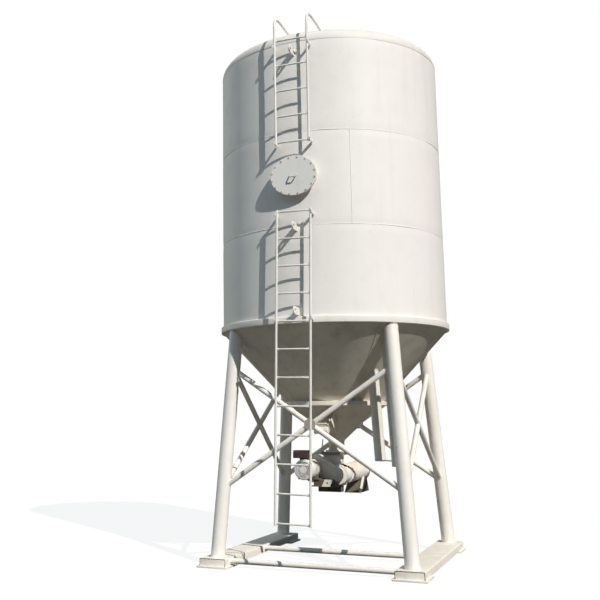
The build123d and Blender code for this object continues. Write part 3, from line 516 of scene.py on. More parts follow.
leg_paint = weathered(
    "leg_paint", (0.88, 0.845, 0.785), old_dirt, mottle=0.1, streaks=0.14, specks=0.7, gloss=0.42
)
for leg_name, side_x, side_y in (
    ("leg_front_right", 1, -1), ("leg_front_left", -1, -1),
    ("leg_back_right", 1, 1), ("leg_back_left", -1, 1),
):
    pipe_sheet, foot_curve, head_curve, ring = leg_sheets(side_x, side_y)
    make_piece(leg_name + "_pipe", [pipe_sheet], leg_paint, stands_for=(leg_name,))
    foot_weld = rippled_bead(foot_curve + (0, 0, 0.002), ring, 0.006)
    make_piece(leg_name + "_welds", [foot_weld, rippled_bead(head_curve, ring, 0.007)], seam_paint)

# Bracing: pipes of 60 mm between the legs, cut to sit on them. On each side one runs through and the
# other is in two halves welded to it at the crossing. Round plates cover the front and back crossings.
brace_radius = 0.03
brace_low = 0.85
brace_high = 2.185


def meet_pipe(starts, axis, pipe_point, pipe_axis, pipe_radius):
    """Where lines leave a pipe: the larger root t of |(start + t * axis) x pipe_axis| = pipe_radius."""
    offset = starts - pipe_point
    offset = offset - (offset @ pipe_axis)[:, None] * pipe_axis
    heading = axis - (axis @ pipe_axis) * pipe_axis
    a, b = heading @ heading, 2 * offset @ heading
    c = (offset**2).sum(axis=1) - pipe_radius**2
    t = (-b + np.sqrt(b * b - 4 * a * c)) / (2 * a)
    return starts + t[:, None] * axis


def fitted_pipe(start, end, start_pipe, end_pipe):
    """A brace whose lines run from one pipe's wall to the other's, closed at both ends, and its welds."""
    ring, axis = ring_about(end - start, 28)
    near = meet_pipe(start + brace_radius * ring, axis, *start_pipe)
    far = meet_pipe(end + brace_radius * ring, -axis, *end_pipe)
    share = np.linspace(0, 1, 6)[None, :, None]
    points = near[:, None, :] * (1 - share) + far[:, None, :] * share
    caps = [np.broadcast_to(rim.mean(axis=0), points[:, :1].shape) for rim in (near, far)]
    welds = [rippled_bead(rim, ring, 0.0042) for rim in (near, far)]
    return np.concatenate([caps[0], points, caps[1]], axis=1), welds


def four_sides(sheets, quarters=range(4)):
    """Grids of the front side turned about the shell's axis by each of these quarter turns."""
    grids = []
    for quarter in quarters:
        c, s = np.round(np.cos(quarter * np.pi / 2)), np.round(np.sin(quarter * np.pi / 2))
        grids += [sheet @ np.array([[c, s, 0], [-s, c, 0], [0, 0, 1]]) for sheet in sheets]
    return grids


def pipe_line(start, end, radius):
    """A pipe as another one sees it: a point, an axis and a radius."""
    return start, (end - start) / np.linalg.norm(end - start), radius


left_leg, right_leg = (
    pipe_line(on_leg(x, -1, beam_top), on_leg(x, -1, ring_low), leg_radius) for x in (-1, 1)
)
long_start, long_end = on_leg(-1, -1, brace_low), on_leg(1, -1, brace_high)
cross_share = np.abs(long_start[0]) / (np.abs(long_start[0]) + np.abs(long_end[0]))
crossing = long_start + cross_share * (long_end - long_start)
long_line = pipe_line(crossing, long_end, brace_radius)
through, through_welds = fitted_pipe(long_start, long_end, left_leg, right_leg)
lower_half, lower_welds = fitted_pipe(on_leg(1, -1, brace_low), crossing, right_leg, long_line)
upper_half, upper_welds = fitted_pipe(crossing, on_leg(-1, -1, brace_high), long_line, left_leg)
make_piece("through_braces", four_sides([through]), leg_paint, stands_for=("long_braces",))
make_piece("half_braces", four_sides([lower_half, upper_half]), leg_paint, stands_for=("brace_halves",))
make_piece("brace_welds", four_sides(through_welds + lower_welds + upper_welds), seam_paint)
disc_radius = 0.066
disc_thickness = 0.008
disc_normal = np.array([0, -1, leg_rake]) / np.hypot(1, leg_rake)
disc_profile = [
    (0, 0), (disc_radius - 0.001, 0), (disc_radius, 0.001), (disc_radius, disc_thickness - 0.0015),
    (disc_radius - 0.0015, disc_thickness), (0, disc_thickness),
]
disc = turned(disc_profile, 48, crossing + disc_normal * brace_radius, disc_normal)
disc_paint = weathered("disc_paint", (0.4, 0.37, 0.32), (0.13, 0.1, 0.07), mottle=0.4)
make_piece("crossing_discs", four_sides([disc], (0, 2)), disc_paint, ("brace_discs",))

# Side beams: channels folded from 8 mm plate, laid flat with the web on top and closed at both ends.
# The fold leaves round upper edges. Rain and boots have left the webs dusty, and their paint is paler
# than the shell's, a painted light for the sunlit beams.
beam_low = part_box("left_side_beam")[0].z
beam_half = (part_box("left_side_beam")[1].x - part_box("left_side_beam")[0].x) / 2
beam_end = (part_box("left_side_beam")[1].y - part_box("left_side_beam")[0].y) / 2
beam_wall = 0.008
fold_radius = 0.014
cap_gap = 0.009


def channel_outline():
    """Up the left leg, round the left fold, along the web, round the right fold, down, and back inside."""
    fold = np.linspace(0, np.pi / 2, 7)
    left = fold_radius * np.stack([1 - np.cos(fold), np.sin(fold) - 1], axis=1) + (-beam_half, beam_top)
    outer = np.concatenate([[(-beam_half, beam_low)], left, (left * (-1, 1))[::-1], [(beam_half, beam_low)]])
    inner = outer * ((beam_half - beam_wall) / beam_half, 1.0) - (0, beam_wall)
    inner[[0, -1], 1] = beam_low
    return np.concatenate([outer, inner[::-1], outer[:1]])


def layers(loop, origin, across=(1, 0, 0), up=(0, 1, 0)):
    """Outlines as rows of points: origin + x * across + y * up + level * (across x up)."""
    frame_axes = np.array([across, up, np.cross(across, up)], float)
    return np.stack([origin + np.insert(flat, 2, level, axis=1) @ frame_axes for flat, level in loop])


def boxed(low, high, edge=0.0015):
    """A plate between two corners: a rounded outline at six levels, drawn in over its edges and closed."""
    low, high = np.asarray(low, float), np.asarray(high, float)
    half, middle = (high - low) / 2, (high + low) / 2
    full = rounded_box(half[0], half[1], edge * 1.5, 2)
    drawn = full * ((half[:2] - edge) / half[:2])
    top = half[2]
    under = [(0 * full, -top), (drawn, -top), (full, edge - top)]
    return layers(under + [(full, top - edge), (drawn, top), (0 * full, top)], middle)


# A paler copy of the cream paint: painted light, with dust settled on the webs.
beam_dust_and_painted_light = weathered(
    "beam_dust_and_painted_light", (0.92, 0.865, 0.775), old_dirt, dust=(0.7, 0.62, 0.5), settled=0.45, mottle=0.16
)
for side, beam_name in ((-1, "left_side_beam"), (1, "right_side_beam")):
    beam_x = side * leg_foot_offset
    outline = channel_outline() + (beam_x, 0)
    channel = np.stack([np.insert(outline, 1, y, axis=1) for y in np.linspace(-beam_end, beam_end, 40)])
    ends = [
        boxed(
            (beam_x - beam_half + cap_gap, y, beam_low),
            (beam_x + beam_half - cap_gap, y + beam_wall, beam_top - cap_gap),
        )
        for y in (-beam_end + 0.0005, beam_end - beam_wall - 0.0005)
    ]
    make_piece(beam_name + "_channel", [channel] + ends, beam_dust_and_painted_light, stands_for=(beam_name,))

# Foot plates: squares of 20 mm plate, flame cut, wider than the beams and welded under their ends.
# They are painted with the beams, in the same paler paint that is a painted light, and as dusty.
plate_corner = np.array([plate_half, plate_half, 0])
plate_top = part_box("foot_plates")[1].z
feet = [
    boxed(spot - plate_corner, spot + plate_corner + (0, 0, plate_top), 0.0025)
    for spot in leg_foot_offset * np.array([(-1, -1, 0), (-1, 1, 0), (1, -1, 0), (1, 1, 0)])
]
make_piece("cut_foot_plates", feet, beam_dust_and_painted_light, stands_for=("foot_plates",))

# Cross rails: pipes of 60 mm between the front feet and between the middles of the side beams,
# butted against the beams and welded round.
rail_radius = 0.03
rail_height = 0.066
rail_reach = leg_foot_offset - beam_half
rail_profile = np.array([(0, -1), (1, -1), (1, 0), (1, 1), (0, 1)]) * (rail_radius, rail_reach)
for rail_name, rail_y in (("front_cross_rail", -leg_foot_offset), ("middle_cross_rail", 0.0)):
    rail = turned(rail_profile, 36, (0, rail_y, rail_height), (1, 0, 0))
    make_piece(rail_name + "_pipe", [rail], leg_paint, stands_for=(rail_name,))
    ring = ring_about((1, 0, 0), 36)[0]
    loop = (rail_radius + 0.001) * ring + (0, rail_y, rail_height)
    welds = [rippled_bead(loop + (x, 0, 0), ring, 0.0045) for x in (-rail_reach, rail_reach)]
    make_piece(rail_name + "_welds", welds, seam_paint)

# Upper ladder: two pipe rails that bend back level over the roof and land on its crown, with five
# round rungs whose flattened ends are welded to the rails.
ladder_plane = -(shell_radius + 0.095)
half_ladder = 0.195
ladder_rail = 0.0135
rung_radius = 0.010
rung_spacing = 0.304
upper_rung = shell_head - 0.006 - 4 * rung_spacing
rail_overhang = 0.022
hoop_start = shell_head + 0.18
hoop_reach = 0.70


def bent_pipe(path, radius, normal=(1.0, 0.0, 0.0)):
    """A round bar carried along a path in the plane of a normal, closed at both ends by a short dome."""
    along = np.gradient(path, axis=0)
    along /= np.linalg.norm(along, axis=1, keepdims=True)
    other = np.cross(along, normal)[:, None, :]
    angle = np.linspace(0, 2 * np.pi, 17)[None, :, None]
    wall = path[:, None, :] + radius * (np.cos(angle) * normal + np.sin(angle) * other)
    start, end = path[:1, None, :], path[-1:, None, :]
    return np.concatenate([
        0 * wall[:1] + start, start + (wall[:1] - start) * 0.8,
        wall[:1] + 0.12 * radius * along[0], wall[1:-1],
        wall[-1:] - 0.12 * radius * along[-1], end + (wall[-1:] - end) * 0.8, 0 * wall[-1:] + end,
    ])


def ladder_rungs(heights):
    """Rungs: ovals carried along X, round in the middle, tall and thin over the last stretch at an end."""
    share = np.array([-1, -1, -0.985, -0.9, -0.84, -0.79, -0.4, 0, 0.4, 0.79, 0.84, 0.9, 0.985, 1, 1])
    flat = np.clip((np.abs(share) - 0.79) / 0.06, 0, 1)
    flat = flat * flat * (3 - 2 * flat)
    tall = rung_radius + flat * (0.0135 - rung_radius)
    thin = rung_radius + flat * (0.004 - rung_radius)
    tall[[0, -1]] = thin[[0, -1]] = 0.0
    angle = np.linspace(0, 2 * np.pi, 17)
    x = share[:, None] * (half_ladder - ladder_rail * 0.6) + 0 * angle
    y = ladder_plane + thin[:, None] * np.sin(angle)
    z = tall[:, None] * np.cos(angle)
    return [np.stack([x, y, z + height], axis=-1) for height in heights]


def smooth_through(points, steps):
    """A curve through points: between two of them the cubic whose slopes come from their neighbours."""
    before = np.concatenate([points[:1], points[:-1]])
    after = np.concatenate([points[1:], points[-1:]])
    slope = (after - before) / 2
    t = np.linspace(0, 1, steps, endpoint=False)[None, :, None]
    p0, p1, m0, m1 = points[:-1, None], points[1:, None], slope[:-1, None], slope[1:, None]
    curve = (2 * t**3 - 3 * t**2 + 1) * p0 + (t**3 - 2 * t**2 + t) * m0
    curve = curve + (-2 * t**3 + 3 * t**2) * p1 + (t**3 - t**2) * m1
    return np.concatenate([curve.reshape(-1, points.shape[1]), points[-1:]])


hoop_foot_radius = -ladder_plane - hoop_reach
hoop_foot = shell_head - crown_drop + np.sqrt(crown_radius**2 - hoop_foot_radius**2) - 0.004
hoop_turn = np.linspace(0, np.pi / 2, 5)
hoop_bend = 0.125 * np.stack([1 - np.cos(hoop_turn), np.sin(hoop_turn)], axis=1)
hoop_run = [(0.2, 0.1275), (0.3, 0.126), (0.4, 0.122), (0.5, 0.114), (0.6, 0.104)]
hoop_bend = np.concatenate([hoop_bend, hoop_run]) + (0, hoop_start)
hoop_bend = np.concatenate([hoop_bend, [(hoop_reach, hoop_foot)]])
straight = np.linspace((0, upper_rung - rail_overhang), (0, hoop_start), 12)[:-1]
upper_path = np.concatenate([straight, smooth_through(hoop_bend, 5)]) + (ladder_plane, 0)
ladder_sides = (-half_ladder, half_ladder)
upper_rails = [bent_pipe(np.insert(upper_path, 0, x, axis=1), ladder_rail) for x in ladder_sides]
ladder_paint = weathered(
    "ladder_paint", (0.82, 0.795, 0.745), old_dirt, mottle=0.12, streaks=0.1, specks=1.0, gloss=0.4
)
make_piece("hooped_rails", upper_rails, ladder_paint, stands_for=("upper_ladder_rails",))
upper_rungs = ladder_rungs(upper_rung + rung_spacing * np.arange(5))
make_piece("upper_rungs", upper_rungs, ladder_paint, stands_for=("upper_ladder_rungs",))

# Lower ladder: twelve rungs of the same kind between straight rails, hung from the shell a little
# off plumb so that it ends short of the ground.
lower_rung = 0.527
lower_top = lower_rung + 11 * rung_spacing
ladder_lean = np.radians(1.2)


def slanted(sheet):
    """A grid turned by the lean in the plane of the ladder, about a point between the tops of the rails."""
    x, y, z = np.moveaxis(sheet - (0, 0, lower_top), -1, 0)
    c, s = np.cos(ladder_lean), np.sin(ladder_lean)
    return np.stack([c * x + s * z, y, lower_top - s * x + c * z], axis=-1)


lower_path = np.linspace(lower_rung - rail_overhang, lower_top + rail_overhang, 20)[:, None] * (0, 0, 1)
lower_rails = [slanted(bent_pipe(lower_path + (x, ladder_plane, 0), ladder_rail)) for x in ladder_sides]
make_piece("lower_rails", lower_rails, ladder_paint, stands_for=("lower_ladder_rails",))
lower_rungs = [slanted(rung) for rung in ladder_rungs(lower_rung + rung_spacing * np.arange(12))]
make_piece("lower_rungs", lower_rungs, ladder_paint, stands_for=("lower_ladder_rungs",))

# Ladder brackets: flat bars from the rails to the shell or to the ring, each with a drilled hole
# at its outer end, welded to the rail and to the plate.
bracket_half = 0.02
bracket_thickness = 0.008
bracket_hole = 0.007
bracket_tail = 0.02
bracket_x = half_ladder + 0.0145
upright = ((0, 1, 0), (0, 0, 1))


def finer(outline, times):
    """An outline with so many points for each of its sides, evenly spaced between its corners."""
    index = np.arange(len(outline))
    fine = np.linspace(0, len(outline) - 1, times * (len(outline) - 1) + 1)
    return np.stack([np.interp(fine, index, column) for column in outline.T], axis=1)


def holed_plate(outline, hole_centre, hole_radius, thickness, edge, origin, across, up):
    """A plate with a hole: from each angle round the hole a loop runs over one face, the rim, and back."""
    centre = np.asarray(hole_centre, float)
    angle = np.arctan2(*(outline - centre).T[::-1])
    hole = centre + hole_radius * np.stack([np.cos(angle), np.sin(angle)], axis=1)
    inward = (centre - outline) / np.linalg.norm(centre - outline, axis=1, keepdims=True)
    drawn = outline + edge * inward
    half = thickness / 2
    under = [(hole, -half), (drawn, -half), (outline, edge - half)]
    over = [(outline, half - edge), (drawn, half), (hole, half), (hole, -half)]
    return layers(under + over, origin, across, up)


def bracket(centre_x, height, reach):
    """One flat bar in the plane of Y and Z, its outer end a little beyond the rail."""
    half_length = (reach + bracket_tail) / 2
    outline = finer(rounded_box(half_length, bracket_half, 0.004, 3) + (reach - half_length, 0), 6)
    spot = (centre_x, ladder_plane, height)
    return holed_plate(outline, (-0.004, 0), bracket_hole, bracket_thickness, 0.001, spot, *upright)


upper_bars = [
    bracket(x, height, 0.097)
    for height in (upper_rung + 0.005, upper_rung + 4 * rung_spacing - 0.06) for x in (-bracket_x, bracket_x)
]
make_piece("upper_bracket_bars", upper_bars, ladder_paint, stands_for=("upper_ladder_brackets",))
lower_bars = []
for height, reach in ((lower_top - 0.02, 0.097), ((ring_low + ring_high) / 2 + 0.01, 0.071)):
    shift = -(lower_top - height) * np.tan(ladder_lean)
    lower_bars += [bracket(x + shift, height, reach) for x in (-bracket_x, bracket_x)]
make_piece("lower_bracket_bars", lower_bars, ladder_paint, stands_for=("lower_ladder_brackets",))

# Lifting lugs: 15 mm plates with a round outer end and an eye for a shackle, flame cut and welded
# upright on the shell; slings have worn the paint round the eye.
lug_half = 0.045
lug_reach = 0.16
lug_eye = 0.019
lug_thickness = 0.015


def lug_outline():
    """Half a circle round the eye at the outer end, and straight edges back into the shell."""
    end = np.linspace(0.5 * np.pi, 1.5 * np.pi, 25)
    nose = np.stack([lug_half * np.cos(end), lug_half * np.sin(end)], axis=1)
    back = lug_reach - lug_half
    low_edge = np.linspace((0, -lug_half), (back, -lug_half), 8)[1:]
    root = np.linspace((back, -lug_half), (back, lug_half), 11)[1:-1]
    return np.concatenate([nose, low_edge, root, (low_edge * (1, -1))[::-1], nose[:1]])


worn_rust = (0.25, 0.1, 0.035)
lug_paint = weathered("lug_paint", (0.82, 0.79, 0.73), old_dirt, worn_rust, specks=1.0)
weld_heights = np.linspace(-lug_half, lug_half, 30)[:, None]
for lug_name in ("top_lifting_lug", "middle_lifting_lug", "bottom_lifting_lug"):
    lug_low, lug_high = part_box(lug_name)
    lug_height = (lug_low.z + lug_high.z) / 2
    eye = (0, -(shell_radius + lug_reach - lug_half), lug_height)
    lug = holed_plate(lug_outline(), (0, 0), lug_eye, lug_thickness, 0.0016, eye, *upright)
    make_piece(lug_name + "_plate", [lug], lug_paint, stands_for=(lug_name,))
    welds = []
    for side in (-1, 1):
        foot = np.array([side * (lug_thickness / 2 + 0.001), -shell_radius - 0.002, lug_height])
        outward = np.array([[side, -1.0, 0.0]]) / np.sqrt(2) + 0 * weld_heights
        welds.append(rippled_bead(foot + weld_heights * (0, 0, 1), outward, 0.0055))
    make_piece(lug_name + "_welds", welds, seam_paint)

# Manway: an oval neck cut into the shell, with a flange, a rubber gasket and a blind oval cover held
# by sixteen hexagon bolts. A bent round bar serves as its handle. The cover's paint is a little greyer.
manway_low, manway_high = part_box("manway_cover")
manway_half_x = (manway_high.x - manway_low.x) / 2
manway_half_z = (manway_high.z - manway_low.z) / 2
manway_height = (manway_high.z + manway_low.z) / 2
cover_face = shell_radius + 0.08
cover_back = cover_face - 0.0125
flange_front = cover_face - 0.0155
flange_back = flange_front - 0.0125
neck_margin = 0.036
bolt_inset = 0.018


def oval_rows(profile):
    """Profile points of (inset, depth) run round an ellipse that shrinks by the inset, at y = -depth."""
    angle = np.linspace(0, 2 * np.pi, 97)[:, None]
    inset, depth = np.asarray(profile, float).T[:, None, :]
    x = np.maximum(manway_half_x - inset, 0) * np.cos(angle)
    z = manway_height + np.maximum(manway_half_z - inset, 0) * np.sin(angle)
    y = -np.where(depth < 0, np.sqrt(shell_radius**2 - x**2) - 0.004, depth)
    return np.stack([x, y, z], axis=-1)


neck_profile = [
    (neck_margin, -1), (neck_margin, flange_back), (0.001, flange_back), (0, flange_back + 0.001),
    (0, flange_front - 0.001), (0.001, flange_front), (neck_margin + 0.006, flange_front),
    (neck_margin + 0.006, -1), (neck_margin, -1),
]
make_piece("manway_neck_sheet", [oval_rows(neck_profile)], cream, stands_for=("manway_neck",))
gasket_back, gasket_front = flange_front - 0.0002, flange_front + 0.0032
gasket_profile = [
    (0.0025, gasket_back), (0.0025, gasket_front), (neck_margin, gasket_front), (neck_margin, gasket_back),
    (0.0025, gasket_back),
]
gasket_rubber = weathered(
    "gasket_rubber", (0.06, 0.055, 0.05), (0.12, 0.1, 0.08), mottle=0.3, streaks=0.0, specks=0.0,
    settled=0.3, gloss=0.7,
)
make_piece("manway_gasket", [oval_rows(gasket_profile)], gasket_rubber)
cover_profile = [
    (2.0, cover_back), (0.001, cover_back), (0, cover_back + 0.001), (0, cover_face - 0.002),
    (0.002, cover_face), (2.0, cover_face),
]
cover_paint = weathered("cover_paint", (0.84, 0.82, 0.79), (0.4, 0.36, 0.3), mottle=0.1, streaks=0.16)
cover = oval_rows(cover_profile)
make_piece("manway_cover_plate", [cover], cover_paint, ("manway_cover",))


def hex_head(centre, normal, size, height):
    """A hexagon head: a chamfered profile turned in six steps."""
    rim = size / np.sqrt(3)
    profile = [(0, 0), (rim, 0), (rim, height * 0.8), (rim * 0.88, height), (0, height)]
    return turned(profile, 6, centre, normal)


bolt_angle = np.radians(11.25 + 22.5 * np.arange(16))
bolt_places = np.stack([
    (manway_half_x - bolt_inset) * np.cos(bolt_angle), -cover_face + 0 * bolt_angle,
    manway_height + (manway_half_z - bolt_inset) * np.sin(bolt_angle),
], axis=1)
bolt_paint = weathered("bolt_paint", (0.62, 0.58, 0.5), old_dirt, mottle=0.3, specks=1.0)
make_piece("manway_bolts", [hex_head(place, (0, -1, 0), 0.016, 0.007) for place in bolt_places], bolt_paint)


def eased(points, radius):
    """A path through points with its corners eased: (1-t)^2 before + 2t(1-t) corner + t^2 after."""
    points = np.asarray(points, float)
    path = [points[:1]]
    t = np.linspace(0, 1, 7)[:, None]
    for before, corner, after in zip(points[:-2], points[1:-1], points[2:]):
        start = corner + radius * (before - corner) / np.linalg.norm(before - corner)
        end = corner + radius * (after - corner) / np.linalg.norm(after - corner)
        path.append((1 - t) ** 2 * start + 2 * t * (1 - t) * corner + t**2 * end)
    return np.concatenate(path + [points[-1:]])


handle_root = np.array([0.036, -cover_face + 0.002, manway_height + 0.012])
handle_grip = handle_root + (0, -0.044, -0.04)
mirror = (-1, 1, 1)
handle_path = eased([handle_root * mirror, handle_grip * mirror, handle_grip, handle_root], 0.022)
handle_normal = np.cross((1, 0, 0), (0, -0.044, -0.04))
handle_normal /= np.linalg.norm(handle_normal)
handle_paint = weathered("handle_paint", (0.46, 0.44, 0.4), old_dirt, worn_rust, specks=1.0, gloss=0.42)
handle = bent_pipe(handle_path, 0.007, handle_normal)
make_piece("bent_handle", [handle], handle_paint, stands_for=("manway_handle",))

# Fill and vent pipes: open steel pipes beside the front right leg, parallel to it, welded into the
# cone above and tied to the leg by a flat bar.
fill_radius = 0.0605
fill_inset = 0.314
fill_shift = np.array([-0.013, 0.053, 0.0])
pipe_wall = 0.005


def open_pipe(inset, shift, radius, end):
    """A pipe cut level at its foot and to the cone at its head, with its wall and the curve of its head."""
    foot, head = on_leg(1, -1, end, inset) + shift, on_leg(1, -1, ring_low, inset) + shift
    columns = []
    for size in (radius, radius - pipe_wall):
        start, length, ring, axis = lines_to_cone(foot, head, size, end, 48)
        columns += [start, start + length * axis]
    low_out, high_out, low_in, high_in = columns
    return np.stack([low_out, high_out, high_in, low_in, low_out], axis=1), high_out, ring


pipe_paint = weathered("pipe_paint", (0.74, 0.7, 0.61), streaks=0.25, specks=0.9)
fill, vent = (fill_inset, fill_shift, fill_radius), (0.115, 0.0, 0.03)
for pipe_name, run in (("fill_pipe", fill), ("vent_pipe", vent)):
    pipe_sheet, pipe_head, ring = open_pipe(*run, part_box(pipe_name)[0].z)
    make_piece(pipe_name + "_run", [pipe_sheet], pipe_paint, stands_for=(pipe_name,))
    make_piece(pipe_name + "_weld", [rippled_bead(pipe_head, ring, 0.005)], pipe_paint)


def slab(outline, low, high, origin, across, up, edge=0.0015):
    """A plate: an outline in the plane of two vectors at six levels, drawn in over its edges and closed."""
    middle = outline[:-1].mean(axis=0)
    arm = outline - middle
    drawn = outline - edge * arm / np.linalg.norm(arm, axis=1, keepdims=True)
    centre = middle + 0 * outline
    under = [(centre, low), (drawn, low), (outline, low + edge)]
    return layers(under + [(outline, high - edge), (drawn, high), (centre, high)], origin, across, up)


tie_height = (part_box("pipe_bracket")[0].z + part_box("pipe_bracket")[1].z) / 2
tie_leg, tie_pipe = on_leg(1, -1, tie_height), on_leg(1, -1, tie_height, fill_inset) + fill_shift
tie_way = (tie_pipe - tie_leg) / np.linalg.norm(tie_pipe - tie_leg)
tie_near, tie_far = tie_leg + (leg_radius - 0.012) * tie_way, tie_pipe - (fill_radius - 0.003) * tie_way
tie_outline = rounded_box(np.linalg.norm(tie_far - tie_near) / 2, 0.03, 0.002, 2)
tie_side = np.array([tie_way[1], -tie_way[0], 0.0])
tie_bar = slab(tie_outline, -0.005, 0.005, (tie_near + tie_far) / 2, tie_way, tie_side)
make_piece("pipe_tie_bar", [tie_bar], pipe_paint, stands_for=("pipe_bracket",))

# Slide valve: two square plates with a frame between them, bolted under the outlet flange. A rod
# stands up from a block on its left side as a hand lever.
valve_low, valve_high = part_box("slide_valve")[0].z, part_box("slide_valve")[1].z
valve_half_x, valve_half_y = 0.13, 0.125
valve_x = -0.02
valve_bore = 0.089
flange_bolt_circle = 0.117
level_plane = ((1, 0, 0), (0, 1, 0))
valve_layers = []
for inset, low, high in ((0, 0, 0.011), (0.006, 0.011, 0.025), (0, 0.025, 0.036)):
    outline = finer(rounded_box(valve_half_x - inset, valve_half_y - inset, 0.004, 2), 8)
    spot = (valve_x, 0, valve_low + (low + high) / 2)
    layer = holed_plate(outline, (-valve_x, 0), valve_bore, high - low, 0.001, spot, *level_plane)
    valve_layers.append(layer)
valve_steel = weathered(
    "valve_steel", (0.34, 0.31, 0.27), (0.12, 0.09, 0.06), dust=(0.66, 0.6, 0.5), settled=0.6, mottle=0.4
)
make_piece("slide_valve_plates", valve_layers, valve_steel, ("slide_valve",))
bolt_spots = [
    (flange_bolt_circle * np.sin(t), -flange_bolt_circle * np.cos(t), flange_top)
    for t in np.radians(22.5 + 45 * np.arange(8))
]
bolt_spots += [
    (valve_x + sx * (valve_half_x - 0.018), sy * (valve_half_y - 0.018), valve_high)
    for sx in (-1, 1) for sy in (-1, 1)
]
valve_bolts = [hex_head(spot, (0, 0, 1), 0.018, 0.009) for spot in bolt_spots]
make_piece("valve_bolts", valve_bolts, valve_steel)
lever_foot = np.array([-0.167, -0.06, (valve_low + valve_high) / 2])
lever_way = np.array([-0.142, -0.09, outlet_top + 0.03]) - lever_foot
lever_way /= np.linalg.norm(lever_way)
lever_length = 0.17
lever_path = lever_foot + np.linspace(0, lever_length, 6)[:, None] * lever_way
lever_normal = np.cross(lever_way, (1.0, 0.0, 0.0))
lever_normal /= np.linalg.norm(lever_normal)
block_half = np.array([0.017, 0.03, 0.013])
lever_parts = [
    bent_pipe(lever_path, 0.007, lever_normal),
    boxed(lever_foot - block_half, lever_foot + block_half, 0.002),
]
make_piece("lever_rod_and_block", lever_parts, cream, stands_for=("valve_lever",))

# Feeder tube: a rolled tube of 6 mm round the conveying screw, open above to the box and below to the
# chute, with a strap, a flange at its back and a gland in front. Its paint is paler than the shell's, a
# painted light for its sunlit side, and the orange on its top is partly dust and partly a painted highlight.
feeder_x = 0.045
feeder_height = 0.965
feeder_radius = 0.115
feeder_wall = 0.006
feeder_front = -0.11
feeder_back = 0.86
cover_end = feeder_back + 0.012
inlet_half = 0.075
mouth_half = 0.065
chute_y = 0.768


def tube_arc(front, back, skip=0.0, skip_at=0.0, inner=feeder_radius - feeder_wall):
    """A stretch of the tube between two depths, leaving out an angle about the top (0) or foot (pi)."""
    angle = skip_at + np.linspace(skip, 2 * np.pi - skip, 97)[:, None]
    radius = np.array([feeder_radius, feeder_radius, inner, inner, feeder_radius])[None, :]
    depth = np.array([front, back, back, front, front])[None, :] + 0 * angle
    strip = [feeder_x + radius * np.sin(angle), depth, feeder_height + radius * np.cos(angle)]
    strip = np.stack(strip, axis=-1)
    caps = [0 * edge + edge.mean(axis=1, keepdims=True) for edge in (strip[:1], strip[-1:])]
    return np.concatenate([caps[0], strip, caps[1]]) if skip else strip


tube_parts = [
    tube_arc(feeder_front, feeder_front + feeder_wall, inner=0.0),
    tube_arc(feeder_front + feeder_wall, -inlet_half),
    tube_arc(-inlet_half, inlet_half, np.arcsin(inlet_half / feeder_radius)),
    tube_arc(inlet_half, chute_y - mouth_half),
    tube_arc(chute_y - mouth_half, chute_y + mouth_half, np.arcsin(mouth_half / feeder_radius), np.pi),
    tube_arc(chute_y + mouth_half, feeder_back),
]
flange_shape = [
    (0, feeder_back - 0.001), (0.133, feeder_back - 0.001), (0.135, feeder_back + 0.001),
    (0.135, cover_end - 0.002), (0.133, cover_end), (0, cover_end),
]
strap_shape = [
    (0.114, 0.13), (0.122, 0.13), (0.123, 0.131),
    (0.123, 0.159), (0.122, 0.16), (0.114, 0.16), (0.114, 0.13),
]
gland_shape = [(0, -0.109), (0.054, -0.109), (0.054, -0.118), (0, -0.118)]
for shape in (flange_shape, strap_shape, gland_shape):
    tube_parts.append(turned(shape, 96, (feeder_x, 0, feeder_height), (0, 1, 0)))
# A paler copy of the cream paint with orange on upward faces: painted light, partly dust.
tube_dust_and_painted_light = weathered(
    "tube_dust_and_painted_light", (0.92, 0.88, 0.83), (0.34, 0.24, 0.15), dust=(0.8, 0.62, 0.42), settled=0.85, mottle=0.16
)
make_piece("feeder_screw_tube", tube_parts, tube_dust_and_painted_light, stands_for=("feeder_tube",))
cover_bolt_circle = 0.126
cover_bolts = []
for t in np.radians(18 + 36 * np.arange(10)):
    arm = cover_bolt_circle * np.array([np.sin(t), 0, np.cos(t)])
    cover_bolts.append(hex_head(arm + (feeder_x, cover_end, feeder_height), (0, 1, 0), 0.013, 0.0065))
make_piece("feeder_flange_bolts", cover_bolts, valve_steel)

# Outlet chute: a flared skirt of four sheets under the back of the tube, cut to its curve and
# welded round. Its sheets are painted near black, a painted shade over faces that the lamp lights,
# and the pale bar on its front corner is a painted highlight along the lit edge.
chute_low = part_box("outlet_chute")[0].z
chute_head = feeder_height - feeder_radius / 2
chute_lean = 0.07


def in_tube(point):
    """Which points are nearer to the tube's axis than its radius."""
    return np.hypot(point[:, 0] - feeder_x, point[:, 2] - feeder_height) < feeder_radius


def stop_at_tube(start, end):
    """Where lines from start points to end points meet the tube."""
    return start + run_until(start, end - start, 1.0, in_tube) * (end - start)


def skirt_wall(inset):
    """The chute's lower rectangle, and where the lines from it to its upper one meet the tube."""
    low = finer(rounded_box(0.1 - inset, 0.22 - inset, 0.003, 2), 8) + (feeder_x, chute_y - chute_lean)
    high = finer(rounded_box(0.09 - inset, 0.08 - inset, 0.003, 2), 8) + (feeder_x, chute_y)
    foot = np.insert(low, 2, chute_low, axis=1)
    return foot, stop_at_tube(foot, np.insert(high, 2, chute_head, axis=1))


def walled(wall):
    """A duct: the outer lines of a wall and its inner ones, joined at both ends."""
    (outer_start, outer_end), (inner_start, inner_end) = wall(0.0), wall(plate_wall)
    return np.stack([outer_start, outer_end, inner_end, inner_start, outer_start], axis=1)
